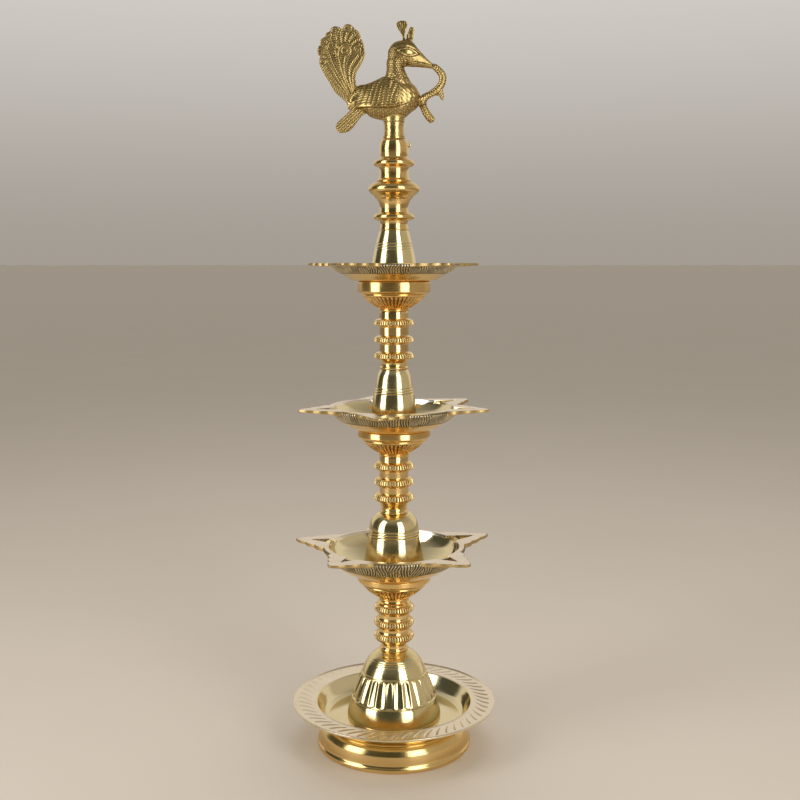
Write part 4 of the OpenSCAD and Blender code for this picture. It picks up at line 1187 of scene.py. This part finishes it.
# painted shade: a dark line at the crest's base, with no groove cut for it
neckc = np.exp(-((Z - 891.0) / 1.0) ** 2) * (X > 8) * (X < 27)
H = H * (1 - 0.8 * neckc)
# the pedestal is kept light, with a turned line whose groove is painted dark as shade, and a dark joint line near its
# foot
pedz = (Z < 787) & (np.hypot(X, Y) < 18)
H = np.where(pedz, 0.90 - 0.6 * np.exp(-((Z - 784.5) / 1.1) ** 2) - 0.5 * np.exp(-((Z - 766.0) / 0.9) ** 2), H)
D = np.where(pedz, -0.25 * np.exp(-((Z - 784.5) / 0.8) ** 2), D)
wob = np.sin(X * 0.9) * np.sin(Y * 1.1 + 1) * np.sin(Z * 0.8 + 2)
D += 0.08 * wob
H = np.clip(H + 0.08 * wob, 0, 1)
co2 = co + no * D[:, None]
co2[:, 2] = np.clip(co2[:, 2], 763.05, 913.8)
lo_b, hi_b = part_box("peacock")
co2[:, 0] = np.clip(co2[:, 0], lo_b.x * 1000 + 0.05, hi_b.x * 1000 - 0.05)
fused.vertices.foreach_set("co", (co2 * 0.001).astype(np.float32).reshape(-1))
at = fused.attributes.new("relief", "FLOAT", "POINT")
at.data.foreach_set("value", H.astype(np.float32))
fused.polygons.foreach_set("use_smooth", [True] * len(fused.polygons))
fused.materials.clear()
fused.materials.append(BIRD)
fused.update()
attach(bird, "peacock")
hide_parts("peacock")

# ---------------------------------------------------------------- stage: floor, light, world
fm_ = bpy.data.materials.new("pale_floor")
fm_.use_nodes = True
nt = fm_.node_tree
b = nt.nodes["Principled BSDF"]
b.inputs["Roughness"].default_value = 0.55
tc = node(nt, "ShaderNodeTexCoord")
nz = node(nt, "ShaderNodeTexNoise")
nz.inputs["Scale"].default_value = 3.0
nt.links.new(tc.outputs["Object"], nz.inputs["Vector"])
mx = node(nt, "ShaderNodeMix", data_type="RGBA")
mx.inputs["A"].default_value = (0.80, 0.71, 0.61, 1)
mx.inputs["B"].default_value = (0.76, 0.67, 0.57, 1)
nt.links.new(nz.outputs["Fac"], mx.inputs["Factor"])
nt.links.new(mx.outputs["Result"], b.inputs["Base Color"])
me = bpy.data.meshes.new("floor")
ng = 64
fv = [(300 * math.cos(TAU * i / ng), 300 * math.sin(TAU * i / ng), 0) for i in range(ng)]
me.from_pydata(fv, [], [list(range(ng))])
me.materials.append(fm_)
floor = bpy.data.objects.new("floor", me)
scene.collection.objects.link(floor)


def softbox(name, az, dist, width, z0, z1, strength, colour=(1, 1, 1)):
    """A tall lit panel that faces the lamp. az is from the camera's side, positive to the right."""
    a_ = math.radians(az)
    li = bpy.data.lights.new(name, "AREA")
    li.shape = "RECTANGLE"
    li.size = width
    li.size_y = z1 - z0
    li.energy = strength * PI * width * (z1 - z0)
    li.color = colour
    o = bpy.data.objects.new(name, li)
    scene.collection.objects.link(o)
    o.location = (dist * math.sin(a_), -dist * math.cos(a_), (z0 + z1) / 2)
    d = Vector((0, 0, (z0 + z1) / 2)) - o.location
    o.rotation_euler = d.to_track_quat("-Z", "Y").to_euler()
    o.visible_camera = False
    return o


softbox("softbox_left", -61, 1.75, 0.86, 0.11, 2.3, 3.3)
softbox("softbox_right", 34.5, 1.75, 0.80, 0.11, 2.3, 3.6)
top = softbox("softbox_top", 0, 0.01, 1.6, 2.4, 2.42, 1.0)
top.data.size_y = 1.6
top.data.energy = 1.5 * PI * 2.56
top.visible_glossy = False
top.location = (0.2, 0.5, 2.6)
top.rotation_euler = (Vector((0, 0, 0.4)) - top.location).to_track_quat("-Z", "Y").to_euler()

w = bpy.data.worlds.new("studio")
scene.world = w
w.use_nodes = True
nt = w.node_tree
for n_ in list(nt.nodes):
    nt.nodes.remove(n_)
out = node(nt, "ShaderNodeOutputWorld")
bg = node(nt, "ShaderNodeBackground")
bgc = node(nt, "ShaderNodeBackground")
mixs = node(nt, "ShaderNodeMixShader")
lp = node(nt, "ShaderNodeLightPath")
tc = node(nt, "ShaderNodeTexCoord")
sx = node(nt, "ShaderNodeSeparateXYZ")
L = nt.links.new
L(tc.outputs["Generated"], sx.inputs[0])
ngy = node(nt, "ShaderNodeMath", operation="MULTIPLY")
ngy.inputs[1].default_value = -1.0
L(sx.outputs["Y"], ngy.inputs[0])
at2 = node(nt, "ShaderNodeMath", operation="ARCTAN2")
L(sx.outputs["X"], at2.inputs[0])
L(ngy.outputs[0], at2.inputs[1])
mr = node(nt, "ShaderNodeMapRange")
mr.inputs["From Min"].default_value = -PI
mr.inputs["From Max"].default_value = PI
L(at2.outputs[0], mr.inputs["Value"])
ramp = node(nt, "ShaderNodeValToRGB")
cr_ = ramp.color_ramp
cr_.interpolation = "EASE"
WALL, DARK, MID = (0.74, 0.69, 0.63, 1), (0.075, 0.075, 0.055, 1), (0.50, 0.45, 0.38, 1)


def stop(deg, c):
    e = cr_.elements.new((deg + 180) / 360)
    e.color = c


cr_.elements[0].position = 0.0
cr_.elements[0].color = WALL
cr_.elements[1].position = 1.0
cr_.elements[1].color = WALL
stop(-126, WALL)
stop(-116, DARK)
stop(50, DARK)
stop(56, MID)
stop(112, MID)
stop(122, WALL)
L(mr.outputs["Result"], ramp.inputs["Fac"])
# lighter overhead
zr = node(nt, "ShaderNodeMapRange")
zr.inputs["From Min"].default_value = 0.45
zr.inputs["From Max"].default_value = 0.9
L(sx.outputs["Z"], zr.inputs["Value"])
mz = node(nt, "ShaderNodeMix", data_type="RGBA")
mz.inputs["B"].default_value = (0.30, 0.285, 0.25, 1)
L(zr.outputs["Result"], mz.inputs["Factor"])
L(ramp.outputs["Color"], mz.inputs["A"])
L(mz.outputs["Result"], bg.inputs["Color"])
bg.inputs["Strength"].default_value = 1.0
gz = node(nt, "ShaderNodeMapRange", interpolation_type="SMOOTHSTEP")
gz.inputs["From Min"].default_value = -0.01
gz.inputs["From Max"].default_value = 0.30
L(sx.outputs["Z"], gz.inputs["Value"])
gm = node(nt, "ShaderNodeMix", data_type="RGBA")
gm.inputs["A"].default_value = (0.37, 0.335, 0.295, 1)
gm.inputs["B"].default_value = (0.66, 0.63, 0.59, 1)
L(gz.outputs["Result"], gm.inputs["Factor"])
L(gm.outputs["Result"], bgc.inputs["Color"])
bgc.inputs["Strength"].default_value = 1.0
L(lp.outputs["Is Camera Ray"], mixs.inputs[0])
L(bg.outputs[0], mixs.inputs[1])
L(bgc.outputs[0], mixs.inputs[2])
L(mixs.outputs[0], out.inputs["Surface"])

scene.view_settings.view_transform = "Standard"
scene.view_settings.look = "None"

# ---------------------------------------------------------------- camera, at the photograph's place
cam = bpy.data.cameras.new("camera")
cam.sensor_width = 36
cam.lens = 1100 / 800 * 36
cam.shift_x = (400 - 394) / 800
cam.shift_y = -(400 - 263) / 800
cam.clip_start = 0.02
cam.clip_end = 800
co_ = bpy.data.objects.new("camera", cam)
scene.collection.objects.link(co_)
co_.location = (0, -1.398, 0.606)
co_.rotation_euler = (PI / 2, 0, 0)
scene.camera = co_
